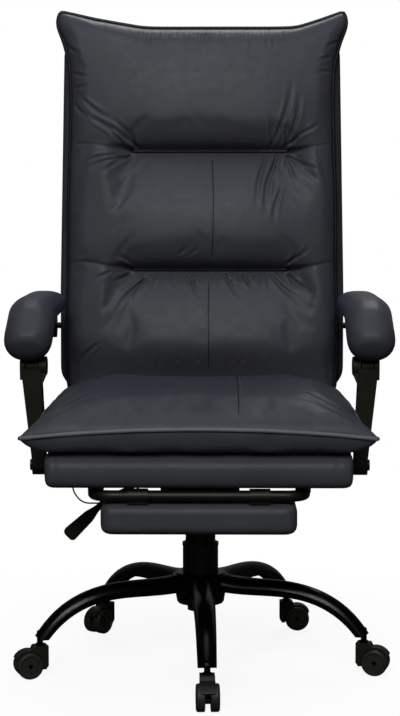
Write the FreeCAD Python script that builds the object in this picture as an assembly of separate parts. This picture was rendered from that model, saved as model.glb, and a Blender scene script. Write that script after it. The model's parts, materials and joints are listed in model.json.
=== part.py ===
import FreeCAD
import Part

import math
import os

# A high-backed reclining office chair with a sliding, folding footrest, in millimetres.
# +Z is up, the chair faces -Y and the origin is on the floor, on the axis of the gas lift.
# Left and right are the sitter's: left is the +X side, and the lever is on the right.

V = FreeCAD.Vector
X = V(1, 0, 0)
Y = V(0, 1, 0)
Z = V(0, 0, 1)
LEFT = 1
RIGHT = -1

# Fits
running_gap = 0.05  # radial, a shaft in a bore that turns or slides
soft_gap = 0.3  # between a soft piece and the rigid one that it rests on
slide_gap = 0.7  # radial, between the telescopic covers
plate_gap = 1.5  # between two steel plates that pass each other

# Overall sizes
seat_half_width = 262.0  # half the width of the pad under the seat cushion
seat_underside = 368.6  # height of that pad's underside, where it rests on the mechanism
back_height = 726.0  # back cushion, from its lower edge to the middle of its top edge

# Star base
leg_count = 5
stem_circle = 310.0
base_turn = 2.8
hub_radius = 51.0
hub_foot_radius = 42.0
hub_top = 172.0
hub_bottom = 114.0
leg_root_radius = 38.0
leg_bend_radius = 175.0
leg_root_height = 156.0
leg_bend_height = 147.0
leg_tip_height = 69.0
leg_root_width = 46.0
leg_tip_width = 33.0
leg_root_depth = 31.0
leg_tip_depth = 21.0
leg_lap = 1.6
leg_wall = 3.0

# Casters
wheel_radius = 24.0
wheel_width = 15.4
wheel_inner = 4.8
caster_trail = 22.0
caster_top = 58.0
housing_half_width = 13.0
hood_wall = 2.6
wheel_clearance = 1.2
axle_radius = 4.0
stem_radius = 5.5
stem_insert = 16.0
stem_socket_depth = 22.0
trail_angles = (272.8, 344.8, 0.0, 234.0, 200.8)

# Gas lift
column_radius = 25.0
column_foot_radius = 24.2
column_bore = 22.5
column_bottom = 100.0
column_top = 216.0
column_floor = 4.0
bush_bottom = 150.0
cylinder_radius = 14.0
cylinder_bore = 11.0
cylinder_bottom = 116.0
cone_top = seat_underside - 23.6
cone_bottom = cone_top - 40.0
cone_top_radius = 13.2
rod_radius = 5.0
rod_shoulder = 8.0
bearing_height = 8.0
bearing_radius = 15.0
bearing_ball_count = 12
piston_bottom = 285.0
piston_height = 12.0
button_radius = 4.0
button_height = 7.0

# Telescopic covers
outer_cover_radius = 33.0
outer_cover_top = 227.0
cover_wall = 2.2
inner_cover_wall = 1.3
middle_cover_bottom = 178.0
middle_cover_top = 228.5
inner_cover_bottom = 181.0
cover_rib_count = 24

# Mechanism under the seat
pan_half_x = 72.0
pan_half_y = 84.0
pan_floor = seat_underside - 43.6
pan_wall = 3.0
flange_half_x = 118.0
flange_half_y = 92.0
bolt_x = 100.0
bolt_y = 75.0
socket_radius = 21.0
socket_bottom = pan_floor - 25.0
rocker_x = -45.0
rocker_z = seat_underside - 22.6
rocker_shaft_radius = 5.0
lever_y = -60.0
lever_rod_radius = 4.0
lever_drop_x = -110.0
paddle_root = (-165.0, rocker_z - 24.0)
paddle_tip = (-243.0, rocker_z - 98.0)
paddle_width = 27.0
paddle_thickness = 13.0

# Seat
board_thickness = 12.0
pad_bottom = seat_underside
pad_top = pad_bottom + 62.4
pad_half_width = seat_half_width
pad_front = -275.0
pad_rear = 190.0
pad_corner = 26.0
pad_bow = 6.0
board_half_width = pad_half_width - 36.0
cushion_front = -290.0
cushion_rear = 152.0
cushion_half_width = pad_half_width + 15.0
ear_half_width = pad_half_width + 40.0
ear_height = pad_top + 26.0
front_piping_height = pad_top + 47.0
crown_height = pad_top + 93.0

# Recline linkage: an exact parallelogram in the side view, as (y, z)
recline_hinge = (245.0, seat_underside + 68.4)
rear_arm_pivot = (225.0, recline_hinge[1] + 180.0)
post_pivot = (-110.0, seat_underside + 19.4)
front_arm_pivot = (post_pivot[0] + rear_arm_pivot[0] - recline_hinge[0],
                   post_pivot[1] + rear_arm_pivot[1] - recline_hinge[1])
pivot_radius = 6.0
side_plate_inner = pad_half_width + 4.0
side_plate_wall = 5.0
side_plate_nose = 28.0
side_tab_reach = 60.0
pin_head_radius = 10.0
pin_head_height = 4.0

# Backrest, drawn upright and then leaned back about its lower edge
lean_angle = 3.6
lean_y = 200.0
back_cushion_bottom = seat_underside + 103.4
back_cushion_top = back_cushion_bottom + back_height
back_ear_top = back_cushion_top + 32.0
lean_z = back_cushion_bottom + 18.0
shell_half_low = seat_half_width + 18.0
shell_half_top = seat_half_width + 10.0
shell_tongue_half = seat_half_width - 14.0
shell_bottom = recline_hinge[1] - 9.0
shell_shoulder = back_cushion_bottom + 28.0
shell_top = back_cushion_top - 18.0
shell_depth = 43.0
shell_wall = 12.0
shell_rim = 14.0
back_ear_half = seat_half_width + 25.0
back_half_low = seat_half_width + 3.0
back_half_mid = seat_half_width - 6.0
channel_low = back_cushion_bottom + 261.0
channel_high = back_cushion_top - 235.0
channel_depth = 34.0
low_crown = 72.0
mid_crown = 68.0
head_crown = 62.0
back_board_half = seat_half_width - 8.0
back_arm_wall = 5.0
back_arm_width = 24.0
back_arm_top = rear_arm_pivot[1] + 83.0

# Arms
arm_pad_inner = seat_half_width - 2.0
arm_pad_width = 84.0
arm_pad_under = rear_arm_pivot[1] + 29.0
arm_pad_top = arm_pad_under + 46.0
arm_pad_front = -196.0
arm_pad_rear = 152.0
arm_droop = arm_pad_under - 64.0
arm_bar_inner = arm_pad_inner + 27.0
arm_bar_width = 20.0
arm_bar_depth = 16.0
arm_bar_wall = 3.0
arm_bar_nose = 16.0
arm_bar_lug = 24.0
post_inner_low = side_plate_inner + side_plate_wall + 5.0
post_outer_low = post_inner_low + 24.0
post_inner_high = arm_bar_inner - 6.0
post_outer_high = arm_bar_inner + arm_bar_width + 11.0
post_half_depth = 18.0
post_wall = 4.0
post_rib = 3.0
post_pocket_count = 4
post_pocket_depth = 13.0
fork_gap = 2.0
fork_height = 16.0
ear_radius = 17.0
ear_reach = 10.0
ear_drop = 38.0

# Footrest
tube_radius = 10.0
tube_wall = 1.5
tube_y = -250.0
tube_z = seat_underside - tube_radius - 4.6
tube_leg_x = 183.0
tube_bend = 32.0
tube_leg_end = 165.0
guide_front = -180.0
guide_rear = 110.0
guide_wall = 3.0
guide_wing = side_plate_inner - side_tab_reach - 3.0 - tube_leg_x
rest_half_width = 169.0
rest_front = -265.0
rest_rear = -105.0
clip_wall = 3.0
rest_board_top = tube_z - tube_radius - clip_wall
rest_board_bottom = rest_board_top - 10.0
rest_bottom = rest_board_top - 55.0
clip_x = 105.0
clip_half_width = 18.0

# Recline cable, points chosen along its clips
cable_radius = 1.5
cable_route = (
    V(-77, 40, 342), V(-104, 42, 334), V(-140, 46, 302), V(-181, 50, 291),
    V(-224, 50, 291), V(-243, 58, 312), V(-245, 92, 344), V(-250, 140, 356),
    V(-258, 188, 358), V(-272, 226, 362), V(-275, 241, 383), V(-275, 244, 409.8),
)


def line(a, b):
    return Part.LineSegment(a, b).toShape()


def outline(start, *steps):
    """A closed wire. A step is an end point, or a pair of a point on an arc and its end."""
    edges = []
    here = start
    for step in steps:
        if isinstance(step, tuple):
            edges.append(Part.Arc(here, step[0], step[1]).toShape())
            here = step[1]
        else:
            edges.append(line(here, step))
            here = step
    if here.distanceToPoint(start) > 1e-6:
        edges.append(line(here, start))
    return Part.Wire(edges)


def prism(wire, along):
    return Part.Face(wire).extrude(along)


def box(low, high):
    size = V(*high) - V(*low)
    return Part.makeBox(size.x, size.y, size.z, V(*low))


def rod(radius, start, end):
    along = end - start
    return Part.makeCylinder(radius, along.Length, start, along)


def ring(outer, inner, bottom, top):
    return rod(outer, V(0, 0, bottom), V(0, 0, top)).cut(rod(inner, V(0, 0, bottom - 1), V(0, 0, top + 1)))


def revolved(points):
    """A solid turned about Z from its half section, given as (radius, height) pairs."""
    wire = Part.makePolygon([V(r, 0, z) for r, z in points + points[:1]])
    return Part.Face(wire).revolve(V(0, 0, 0), Z, 360)


def placed(shape, turn_deg, offset):
    shape = shape.copy()
    shape.rotate(V(0, 0, 0), Z, turn_deg)
    shape.translate(offset)
    return shape


def mirrored(shape):
    return shape.mirror(V(0, 0, 0), X)


def sided(shape, side):
    return shape if side == LEFT else mirrored(shape)


def side_view(yz, x):
    return V(x, yz[0], yz[1])


def lean(shape):
    shape = shape.copy()
    shape.rotate(V(0, lean_y, lean_z), X, -lean_angle)
    return shape


def upright(yz):
    """A point of the leaned backrest, taken back to the upright drawing."""
    turn = math.radians(lean_angle)
    dy = yz[0] - lean_y
    dz = yz[1] - lean_z
    return (lean_y + dy * math.cos(turn) - dz * math.sin(turn),
            lean_z + dy * math.sin(turn) + dz * math.cos(turn))


def rounded(shape, radius, chosen):
    edges = [edge for edge in shape.Edges if chosen(edge)]
    return shape.makeFillet(radius, edges)


def export(name, *solids):
    shape = solids[0] if len(solids) == 1 else Part.makeCompound(list(solids))
    shape.exportStep("parts/%s.step" % name)
    volume = sum(solid.Volume for solid in shape.Solids)
    print("%-24s %2d solids %9.1f cm3 valid %s" % (name, len(shape.Solids), volume / 1000, shape.isValid()))


# Star base

def leg_angle(index):
    return 270.0 + base_turn + index * 360.0 / leg_count


def leg_path(share):
    """Centre of a leg at a share of its length: a straight run, then one arc down to the tip."""
    root = (leg_root_radius, leg_root_height)
    bend = (leg_bend_radius, leg_bend_height)
    run = math.hypot(bend[0] - root[0], bend[1] - root[1])
    along = ((bend[0] - root[0]) / run, (bend[1] - root[1]) / run)
    down = (along[1], -along[0])
    to_tip = (stem_circle - bend[0], leg_tip_height - bend[1])
    radius = (to_tip[0] ** 2 + to_tip[1] ** 2) / (2 * (to_tip[0] * down[0] + to_tip[1] * down[1]))
    sweep = 2 * math.atan2(math.hypot(*to_tip) / 2, math.sqrt(radius ** 2 - math.hypot(*to_tip) ** 2 / 4))
    length = run + radius * sweep
    gone = share * length
    if gone <= run:
        return (root[0] + along[0] * gone, root[1] + along[1] * gone), along
    turn = (gone - run) / radius
    place = (bend[0] + radius * (along[0] * math.sin(turn) + down[0] * (1 - math.cos(turn))),
             bend[1] + radius * (along[1] * math.sin(turn) + down[1] * (1 - math.cos(turn))))
    heading = (along[0] * math.cos(turn) + down[0] * math.sin(turn),
               along[1] * math.cos(turn) + down[1] * math.sin(turn))
    return place, heading


def leg_section(share, inset, floor_drop):
    """One section across a leg: an arched upper pressing that laps over a channel."""
    (r, z), (dr, dz) = leg_path(share)
    width = leg_root_width + (leg_tip_width - leg_root_width) * share
    depth = leg_root_depth + (leg_tip_depth - leg_root_depth) * share
    up = V(-dz, 0, dr)
    centre = V(r, 0, z)
    half = width / 2 - inset
    lap = leg_lap

    def at(side, height):
        return centre + Y * side + up * height

    low = -depth / 2 - floor_drop
    seam = -depth * 0.08
    top = depth / 2 - inset
    return outline(at(-half + lap, low), at(-half + lap, seam), at(-half, seam),
                   (at(0, top), at(half, seam)), at(half - lap, seam), at(half - lap, low))


def leg():
    shares = (0.0, 0.3, 0.52, 0.68, 0.84, 1.0)
    outer = Part.makeLoft([leg_section(s, 0.0, 0.0) for s in shares], True, False)
    hollow_shares = (0.08, 0.3, 0.52, 0.68, 0.84)
    inner = Part.makeLoft([leg_section(s, leg_wall, 3.0) for s in hollow_shares], True, False)
    solid = outer.cut(inner)
    above = box((0, -60, leg_tip_height), (stem_circle + 60, 60, hub_top + 40))
    solid = solid.common(above)
    socket = rod(stem_radius, V(stem_circle, 0, leg_tip_height - 10),
                 V(stem_circle, 0, leg_tip_height + stem_insert))
    return solid.cut(socket)


def base_star():
    hub = revolved([(0, hub_bottom), (hub_foot_radius, hub_bottom), (hub_foot_radius + 2, hub_bottom + 3),
                    (hub_foot_radius + 5, leg_bend_height - 12), (hub_radius, leg_bend_height - 6),
                    (hub_radius, hub_top - 5), (hub_radius - 5, hub_top), (0, hub_top)])
    star = hub
    one_leg = leg()
    for index in range(leg_count):
        star = star.fuse(placed(one_leg, leg_angle(index), V(0, 0, 0)))
    slope = (column_radius - column_foot_radius) / (hub_top - column_bottom)
    low_radius = column_foot_radius + slope * (hub_bottom - 20 - column_bottom) + running_gap
    taper = Part.makeCone(low_radius, low_radius + slope * (hub_top - hub_bottom + 40),
                          hub_top - hub_bottom + 40, V(0, 0, hub_bottom - 20))
    return star.cut(taper).removeSplitter()


def caster_stems():
    stems = []
    for index in range(leg_count):
        top = leg_tip_height + stem_insert
        bottom = caster_top - stem_socket_depth
        stem = rod(stem_radius, V(stem_circle, 0, bottom), V(stem_circle, 0, top - 1.5))
        nose = Part.makeCone(stem_radius, stem_radius - 1.5, 1.5, V(stem_circle, 0, top - 1.5))
        collar_low = caster_top + soft_gap
        collar = Part.makeCylinder(stem_radius + 2.5, 3.0, V(stem_circle, 0, collar_low))
        stems.append(placed(stem.fuse(nose).fuse(collar), leg_angle(index), V(0, 0, 0)))
    return stems


# Casters, drawn with the stem on the Z axis and the wheels trailing towards +X

def caster_housing():
    centre = V(caster_trail, 0, wheel_radius)
    hood = wheel_radius + wheel_clearance + hood_wall

    def on_hood(angle):
        turn = math.radians(angle)
        return centre + V(math.cos(turn), 0, math.sin(turn)) * hood

    half = housing_half_width
    boss = axle_radius + 7
    profile = outline(V(-half, 0, caster_top), V(half - 2, 0, caster_top), V(half, 0, caster_top - 2),
                      on_hood(104), (on_hood(66), on_hood(28)), centre + V(boss, 0, 0),
                      (centre + V(0, 0, -boss), centre + V(-boss, 0, -boss * 0.6)),
                      V(-half + 5, 0, wheel_radius - 9), V(-half, 0, wheel_radius - 2))
    profile.translate(Y * -half)
    body = prism(profile, Y * 2 * half)
    pocket = wheel_radius + wheel_clearance
    for side in (LEFT, RIGHT):
        web = side * (wheel_inner - 0.6)
        body = body.cut(rod(pocket, centre + Y * web, centre + Y * side * 40))
    body = body.cut(rod(axle_radius, centre - Y * 40, centre + Y * 40))
    socket_floor = caster_top - stem_socket_depth - soft_gap
    return body.cut(rod(stem_radius + running_gap, V(0, 0, socket_floor), V(0, 0, caster_top + 1)))


def caster_wheel(side):
    """A wheel with a rounded tread and a dished outer face round a raised cap."""
    inner = wheel_inner
    outer = wheel_inner + wheel_width
    bore = axle_radius + running_gap
    r = wheel_radius
    section = outline(V(bore, inner, 0), V(r - 2, inner, 0), (V(r - 0.6, inner + 0.6, 0), V(r, inner + 2, 0)),
                      V(r, outer - 4, 0), (V(r - 1.2, outer - 1.2, 0), V(r - 4, outer, 0)),
                      V(r - 6.5, outer, 0), V(r - 7.5, outer - 1.6, 0), V(bore, outer - 1.6, 0))
    wheel = Part.Face(section).revolve(V(0, 0, 0), Y, 360)
    wheel = wheel if side == LEFT else wheel.mirror(V(0, 0, 0), Y)
    wheel.translate(V(caster_trail, 0, wheel_radius))
    return wheel


def caster_axle():
    reach = wheel_inner + wheel_width - 2.2
    return rod(axle_radius, V(caster_trail, -reach, wheel_radius), V(caster_trail, reach, wheel_radius))


# Gas lift and its telescopic covers

def column_tube():
    outer = revolved([(0, column_bottom), (column_foot_radius, column_bottom), (column_radius, hub_top),
                      (column_radius, column_top), (0, column_top)])
    bore = rod(column_bore, V(0, 0, column_bottom + column_floor), V(0, 0, column_top + 1))
    return outer.cut(bore).cut(rod(rod_radius + running_gap, V(0, 0, column_bottom - 1), V(0, 0, column_top)))


def guide_bush():
    sleeve = column_bore - running_gap
    hole = cylinder_radius + running_gap
    lip = column_radius - 0.5
    return revolved([(hole, bush_bottom), (sleeve, bush_bottom), (sleeve, column_top), (lip, column_top),
                     (lip, column_top + 2), (hole + 2, column_top + 2), (hole, column_top)])


def thrust_bearing():
    """Two washers with the balls between them, held by a flat cage."""
    low = column_bottom + column_floor
    hole = rod_radius + running_gap
    third = bearing_height / 3
    washer_low = ring(bearing_radius, hole, low, low + third)
    washer_high = ring(bearing_radius, hole, low + 2 * third, low + bearing_height)
    middle = low + bearing_height / 2
    cage = ring(bearing_radius - 2, hole + 1, middle - third / 5, middle + third / 5)
    for index in range(bearing_ball_count):
        ball = Part.makeSphere(third / 2, V((bearing_radius + hole) / 2, 0, middle))
        cage = cage.fuse(placed(ball, index * 360.0 / bearing_ball_count, V(0, 0, 0)))
    return [washer_low, cage, washer_high]


def retaining_clip():
    clip = ring(rod_radius + 5, rod_radius - 1 + running_gap, column_bottom - 2, column_bottom)
    mouth = box((0, -2.5, column_bottom - 3), (20, 2.5, column_bottom + 1))
    return clip.cut(mouth)


def piston_rod():
    shoulder = column_bottom + column_floor + bearing_height
    top = piston_bottom + piston_height
    head = cylinder_bore - running_gap
    groove = rod_radius - 1
    return revolved([(0, column_bottom - 5), (rod_radius, column_bottom - 5), (rod_radius, column_bottom - 2),
                     (groove, column_bottom - 2), (groove, column_bottom), (rod_radius, column_bottom),
                     (rod_radius, shoulder), (rod_shoulder, shoulder), (rod_shoulder, shoulder + 2),
                     (rod_radius, shoulder + 2), (rod_radius, piston_bottom), (head, piston_bottom),
                     (head, top), (0, top)])


def gas_cylinder():
    bore_top = piston_bottom + piston_height + 4
    neck = rod_radius + running_gap
    seat = button_radius + running_gap
    shaft = revolved([(0, cylinder_bottom), (cylinder_radius, cylinder_bottom),
                      (cylinder_radius, cone_bottom), (cone_top_radius, cone_top), (0, cone_top)])
    bore = rod(cylinder_bore, V(0, 0, cylinder_bottom + 8), V(0, 0, bore_top))
    hole = rod(neck, V(0, 0, cylinder_bottom - 1), V(0, 0, cylinder_bottom + 9))
    valve = rod(seat, V(0, 0, cone_top - 18), V(0, 0, cone_top + 1))
    return shaft.cut(bore).cut(hole).cut(valve)


def valve_button():
    return rod(button_radius, V(0, 0, cone_top - 10), V(0, 0, cone_top + button_height))


def cover_outer():
    outer = outer_cover_radius
    inner = outer - cover_wall
    top = outer_cover_top
    return revolved([(inner, hub_top), (outer, hub_top), (outer, top - 5), (outer + 0.9, top - 5),
                     (outer + 0.9, top), (inner, top)])


def middle_radius():
    return outer_cover_radius - cover_wall - slide_gap


def inner_radius():
    return middle_radius() - cover_wall + 0.6 - slide_gap


def cover_middle():
    outer = middle_radius()
    return ring(outer, inner_radius() + slide_gap, middle_cover_bottom, middle_cover_top)


def cover_inner():
    """The top cover: a thin sleeve with a ribbed grip band and a lip under the mechanism."""
    outer = inner_radius()
    inner = outer - inner_cover_wall
    band_low = middle_cover_top + 2
    band_high = band_low + 14
    top = pan_floor - soft_gap
    sleeve = revolved([(inner, inner_cover_bottom), (outer, inner_cover_bottom), (outer, band_low - 1),
                       (outer - 0.7, band_low), (outer - 0.7, band_high), (outer, band_high + 1),
                       (outer, top), (socket_radius + soft_gap, top), (socket_radius + soft_gap, top - 3),
                       (inner, top - 3)])
    rib = box((outer - 1.0, -1.4, band_low), (outer, 1.4, band_high))
    for index in range(cover_rib_count):
        sleeve = sleeve.fuse(placed(rib, index * 360.0 / cover_rib_count, V(0, 0, 0)))
    return sleeve.removeSplitter()


# Mechanism and lever

def rounded_plate(half_x, half_y, low, high, radius):
    plate = box((-half_x, -half_y, low), (half_x, half_y, high))
    return rounded(plate, radius, lambda e: abs(e.BoundBox.ZLength - (high - low)) < 0.01)


def mechanism_plate():
    flange = rounded_plate(flange_half_x, flange_half_y, pad_bottom - pan_wall, pad_bottom, 16)
    pan = rounded_plate(pan_half_x, pan_half_y, pan_floor, pad_bottom, 12)
    hollow = rounded_plate(pan_half_x - pan_wall, pan_half_y - pan_wall, pan_floor + pan_wall,
                           pad_bottom + 1, 10)
    body = flange.fuse(pan).cut(hollow)
    body = body.fuse(rod(socket_radius, V(0, 0, socket_bottom), V(0, 0, cone_top - 2)))
    shaft = rocker_shaft_radius
    for y in (lever_y - 14, 12):
        tab = box((rocker_x - 10, y, pan_floor + 1), (rocker_x + 10, y + 4, rocker_z + 10))
        tab = rounded(tab, 8, lambda e: e.BoundBox.YLength > 3.9 and e.BoundBox.ZMin > rocker_z)
        body = body.fuse(tab)
    body = body.cut(rod(shaft + running_gap, V(rocker_x, lever_y - 20, rocker_z), V(rocker_x, 20, rocker_z)))
    slope = (cylinder_radius - cone_top_radius) / (cone_top - cone_bottom)
    low_radius = cylinder_radius + running_gap + slope * (cone_bottom - socket_bottom + 1)
    body = body.cut(rod(cylinder_radius + running_gap, V(0, 0, socket_bottom - 1), V(0, 0, cone_bottom)))
    body = body.cut(Part.makeCone(cylinder_radius + running_gap, cone_top_radius + running_gap - slope * 4,
                                  cone_top - cone_bottom + 4, V(0, 0, cone_bottom)))
    slot = box((-pan_half_x - 5, lever_y - 9, rocker_z - 9), (-pan_half_x + 8, lever_y + 9, rocker_z + 9))
    body = body.cut(slot)
    exit_y = cable_route[0].y
    exit_z = cable_route[0].z
    cable_hole = rod(cable_radius + soft_gap, V(-pan_half_x - 3, exit_y, exit_z),
                     V(-pan_half_x + 6, exit_y, exit_z))
    body = body.cut(cable_hole)
    for x in (-bolt_x, bolt_x):
        for y in (-bolt_y, bolt_y):
            body = body.cut(rod(4.0, V(x, y, pad_bottom - 8), V(x, y, pad_bottom + 4)))
    return body.removeSplitter()


def lever_rocker():
    """A cross shaft with a socket for the lever rod and a finger over the valve button."""
    shaft = rod(rocker_shaft_radius, V(rocker_x, lever_y - 16, rocker_z), V(rocker_x, 18, rocker_z))
    socket = rod(7.5, V(rocker_x - 16, lever_y, rocker_z), V(rocker_x + 16, lever_y, rocker_z))
    bore = rod(lever_rod_radius + running_gap, V(rocker_x - 30, lever_y, rocker_z),
               V(rocker_x + 30, lever_y, rocker_z))
    low = cone_top + button_height
    finger = box((rocker_x - 4, -6, low), (6, 6, low + 4))
    riser = box((rocker_x - 4, -6, rocker_z - 2), (rocker_x + 4, 6, low + 4))
    return shaft.fuse(finger).fuse(riser).fuse(socket).cut(bore)


def lever_rod():
    """A round rod, straight through its socket and cranked down to the paddle."""
    points = [V(rocker_x + 18, lever_y, rocker_z), V(lever_drop_x, lever_y, rocker_z),
              V(paddle_root[0], lever_y, paddle_root[1]),
              V((paddle_root[0] * 2 + paddle_tip[0]) / 3, lever_y, (paddle_root[1] * 2 + paddle_tip[1]) / 3)]
    return bent_rod(points, lever_rod_radius, 14)


def bent_rod(points, radius, bend=None):
    """A round bar along straight runs joined by tangent arcs."""
    edges = []
    here = points[0]
    for before, corner, after in zip(points, points[1:], points[2:]):
        back = (before - corner).normalize()
        ahead = (after - corner).normalize()
        half = (math.pi - back.getAngle(ahead)) / 2
        shorter = min((before - corner).Length, (after - corner).Length)
        curve = bend if bend else 0.45 * shorter / math.tan(half)
        setback = curve * math.tan(half)
        start = corner + back * setback
        end = corner + ahead * setback
        inward = (back + ahead).normalize()
        middle = corner + inward * (curve / math.cos(half) - curve)
        edges.append(line(here, start))
        edges.append(Part.Arc(start, middle, end).toShape())
        here = end
    edges.append(line(here, points[-1]))
    path = Part.Wire(edges)
    along = (points[1] - points[0]).normalize()
    profile = Part.Wire(Part.makeCircle(radius, points[0], along))
    return path.makePipeShell([profile], True, False)


def lever_paddle():
    """A moulded grip with its broad face to the front, drawn along +X and turned down to its slope."""
    root = V(paddle_root[0], lever_y, paddle_root[1])
    tip = V(paddle_tip[0], lever_y, paddle_tip[1])
    length = (tip - root).Length
    half = paddle_width / 2
    neck = half * 0.42
    thick = paddle_thickness
    face = outline(V(0, 0, -neck), V(length * 0.3, 0, -neck), V(length * 0.5, 0, -half * 0.8),
                   V(length - 8, 0, -half), (V(length - 2.4, 0, -half + 2.4), V(length, 0, -half + 8)),
                   V(length, 0, half - 8), (V(length - 2.4, 0, half - 2.4), V(length - 8, 0, half)),
                   V(length * 0.5, 0, half * 0.8), V(length * 0.3, 0, neck), V(0, 0, neck))
    face.translate(Y * -(thick / 2))
    grip = prism(face, Y * thick)
    grip = rounded(grip, 2.0, lambda e: e.BoundBox.YLength < 0.01 and e.BoundBox.XMin > length * 0.45)
    socket = rod(neck, V(-4, 0, 0), V(length * 0.4, 0, 0))
    grip = grip.fuse(socket).cut(rod(lever_rod_radius, V(-10, 0, 0), V(length / 3 + 0.3, 0, 0)))
    for index in range(3):
        x = length * (0.6 + 0.12 * index)
        grip = grip.cut(rod(1.4, V(x, -thick / 2 - 0.5, -half), V(x, -thick / 2 - 0.5, half)))
    down = math.degrees(math.atan2(root.z - tip.z, root.x - tip.x))
    grip.rotate(V(0, 0, 0), Z, 180)
    grip.rotate(V(0, 0, 0), Y, -down)
    grip.translate(root)
    return grip


# Seat

def bowed_plan(half_x, front, rear, bow, corner, z):
    """A plan outline whose sides swell a little between rounded corners."""
    c = corner
    k = c * (1 - math.sqrt(0.5))
    return outline(V(-half_x + c, front, z), (V(0, front - bow, z), V(half_x - c, front, z)),
                   (V(half_x - k, front + k, z), V(half_x, front + c, z)),
                   V(half_x, rear - c, z),
                   (V(half_x - k, rear - k, z), V(half_x - c, rear, z)),
                   V(-half_x + c, rear, z),
                   (V(-half_x + k, rear - k, z), V(-half_x, rear - c, z)),
                   V(-half_x, front + c, z), (V(-half_x + k, front + k, z), V(-half_x + c, front, z)))


def padded_block(half_x, front, rear, low, high, bow, corner, round_low, round_high):
    """A firm pad: a bowed plan with its lower and upper edges rounded over."""
    block = prism(bowed_plan(half_x, front, rear, bow, corner, low), Z * (high - low))
    block = rounded(block, round_low, lambda e: e.BoundBox.ZMax < low + 0.01)
    return rounded(block, round_high, lambda e: e.BoundBox.ZMin > high - 0.01)


def seat_board():
    half_y = (pad_rear - pad_front) / 2 - 24
    board = rounded_plate(board_half_width, half_y, pad_bottom, pad_bottom + board_thickness, 30)
    board.translate(Y * (pad_rear + pad_front) / 2)
    return board


def seat_base_pad():
    pad = padded_block(pad_half_width, pad_front + pad_bow, pad_rear, pad_bottom, pad_top, pad_bow, 40,
                       pad_corner, 16)
    return pad.cut(seat_board())


def seat_bolts():
    bolts = []
    spots = [(x, y) for x in (-bolt_x, bolt_x) for y in (-bolt_y, bolt_y)]
    low = pad_bottom - pan_wall
    for x, y in spots:
        shank = rod(3.9, V(x, y, low), V(x, y, pad_bottom))
        head = rod(7.5, V(x, y, low - 5), V(x, y, low))
        bolts.append(shank.fuse(head))
    return bolts


def cushion_section(y, half, edge, top, bottom, flat):
    """A section across the seat cushion: a crowned top over a flat rest between drawn-up sides."""
    mid = (half + flat) / 2 + 8
    return outline(V(-half, y, edge), (V(0, y, top), V(half, y, edge)),
                   (V(mid, y, bottom + (edge - bottom) * 0.28), V(flat, y, bottom)),
                   V(-flat, y, bottom), (V(-mid, y, bottom + (edge - bottom) * 0.28), V(-half, y, edge)))


def seat_cushion():
    rest = pad_top + soft_gap
    front = cushion_front
    ear = ear_half_width
    half = cushion_half_width
    sections = [
        cushion_section(front, ear, ear_height, front_piping_height, ear_height + 5, ear * 0.4),
        cushion_section(front + 34, ear - 10, ear_height + 4, front_piping_height + 16, rest, ear * 0.66),
        cushion_section(front + 110, half + 4, ear_height + 11, crown_height - 18, rest, half * 0.74),
        cushion_section(front + 220, half - 1, ear_height + 19, crown_height - 5, rest, half * 0.76),
        cushion_section(front + 330, half - 2, ear_height + 24, crown_height, rest, half * 0.76),
        cushion_section(cushion_rear, half - 12, ear_height + 18, crown_height - 10, rest, half * 0.74),
    ]
    above_rest = box((-2 * ear, front - 50, rest), (2 * ear, cushion_rear + 50, 2 * crown_height))
    return Part.makeLoft(sections, True, False).common(above_rest)


def side_plate():
    """A pressed plate with a nose at each pivot and two tabs turned in under the seat pad."""
    front = post_pivot
    rear = recline_hinge
    x = side_plate_inner
    nose = side_plate_nose
    small = nose * 0.78
    low = pad_bottom - 3.6
    web = outline(V(x, front[0] - small, front[1]),
                  (V(x, front[0] - small * 0.7, front[1] + small * 0.7), V(x, front[0], front[1] + small)),
                  V(x, rear[0] - 80, front[1] + small + 6),
                  (V(x, rear[0] - 44, front[1] + small + 18),
                   V(x, rear[0] - nose * 0.94, rear[1] + nose * 0.34)),
                  (V(x, rear[0], rear[1] + nose), V(x, rear[0] + nose, rear[1])),
                  (V(x, rear[0] + nose * 0.7, rear[1] - nose * 0.7), V(x, rear[0], rear[1] - nose)),
                  V(x, rear[0] - 50, low), V(x, front[0] - small * 0.4, low))
    plate = prism(web, X * side_plate_wall)
    for y0 in (front[0] - 6, rear[0] - 118):
        tab = box((x - side_tab_reach, y0, low), (x + side_plate_wall, y0 + 56, low + 3.3))
        plate = plate.fuse(tab)
    for pivot in (front, rear):
        plate = plate.cut(rod(pivot_radius, side_view(pivot, x - 5), side_view(pivot, x + 15)))
    return plate


def hinge_pins():
    """Shouldered pins of the recline hinge and of the arm posts, held in the side plates."""
    pins = []
    outer = side_plate_inner + side_plate_wall
    inner_end = side_plate_inner - plate_gap - back_arm_wall - 2
    for side in (LEFT, RIGHT):
        hinge = rod(pivot_radius, side_view(recline_hinge, inner_end), side_view(recline_hinge, outer + 0.5))
        cap = rod(pin_head_radius, side_view(recline_hinge, inner_end - 3),
                  side_view(recline_hinge, inner_end))
        head = rod(pin_head_radius, side_view(recline_hinge, outer),
                   side_view(recline_hinge, outer + pin_head_height))
        pins.append(sided(hinge.fuse(cap).fuse(head), side))
        far = post_outer_low + 0.4
        post_pin = rod(pivot_radius, side_view(post_pivot, side_plate_inner), side_view(post_pivot, far + 3))
        washer = rod(pin_head_radius, side_view(post_pivot, outer),
                     side_view(post_pivot, post_inner_low - 0.4))
        cap = rod(pin_head_radius, side_view(post_pivot, far), side_view(post_pivot, far + pin_head_height))
        pins.append(sided(post_pin.fuse(washer).fuse(cap), side))
    return pins


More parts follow.
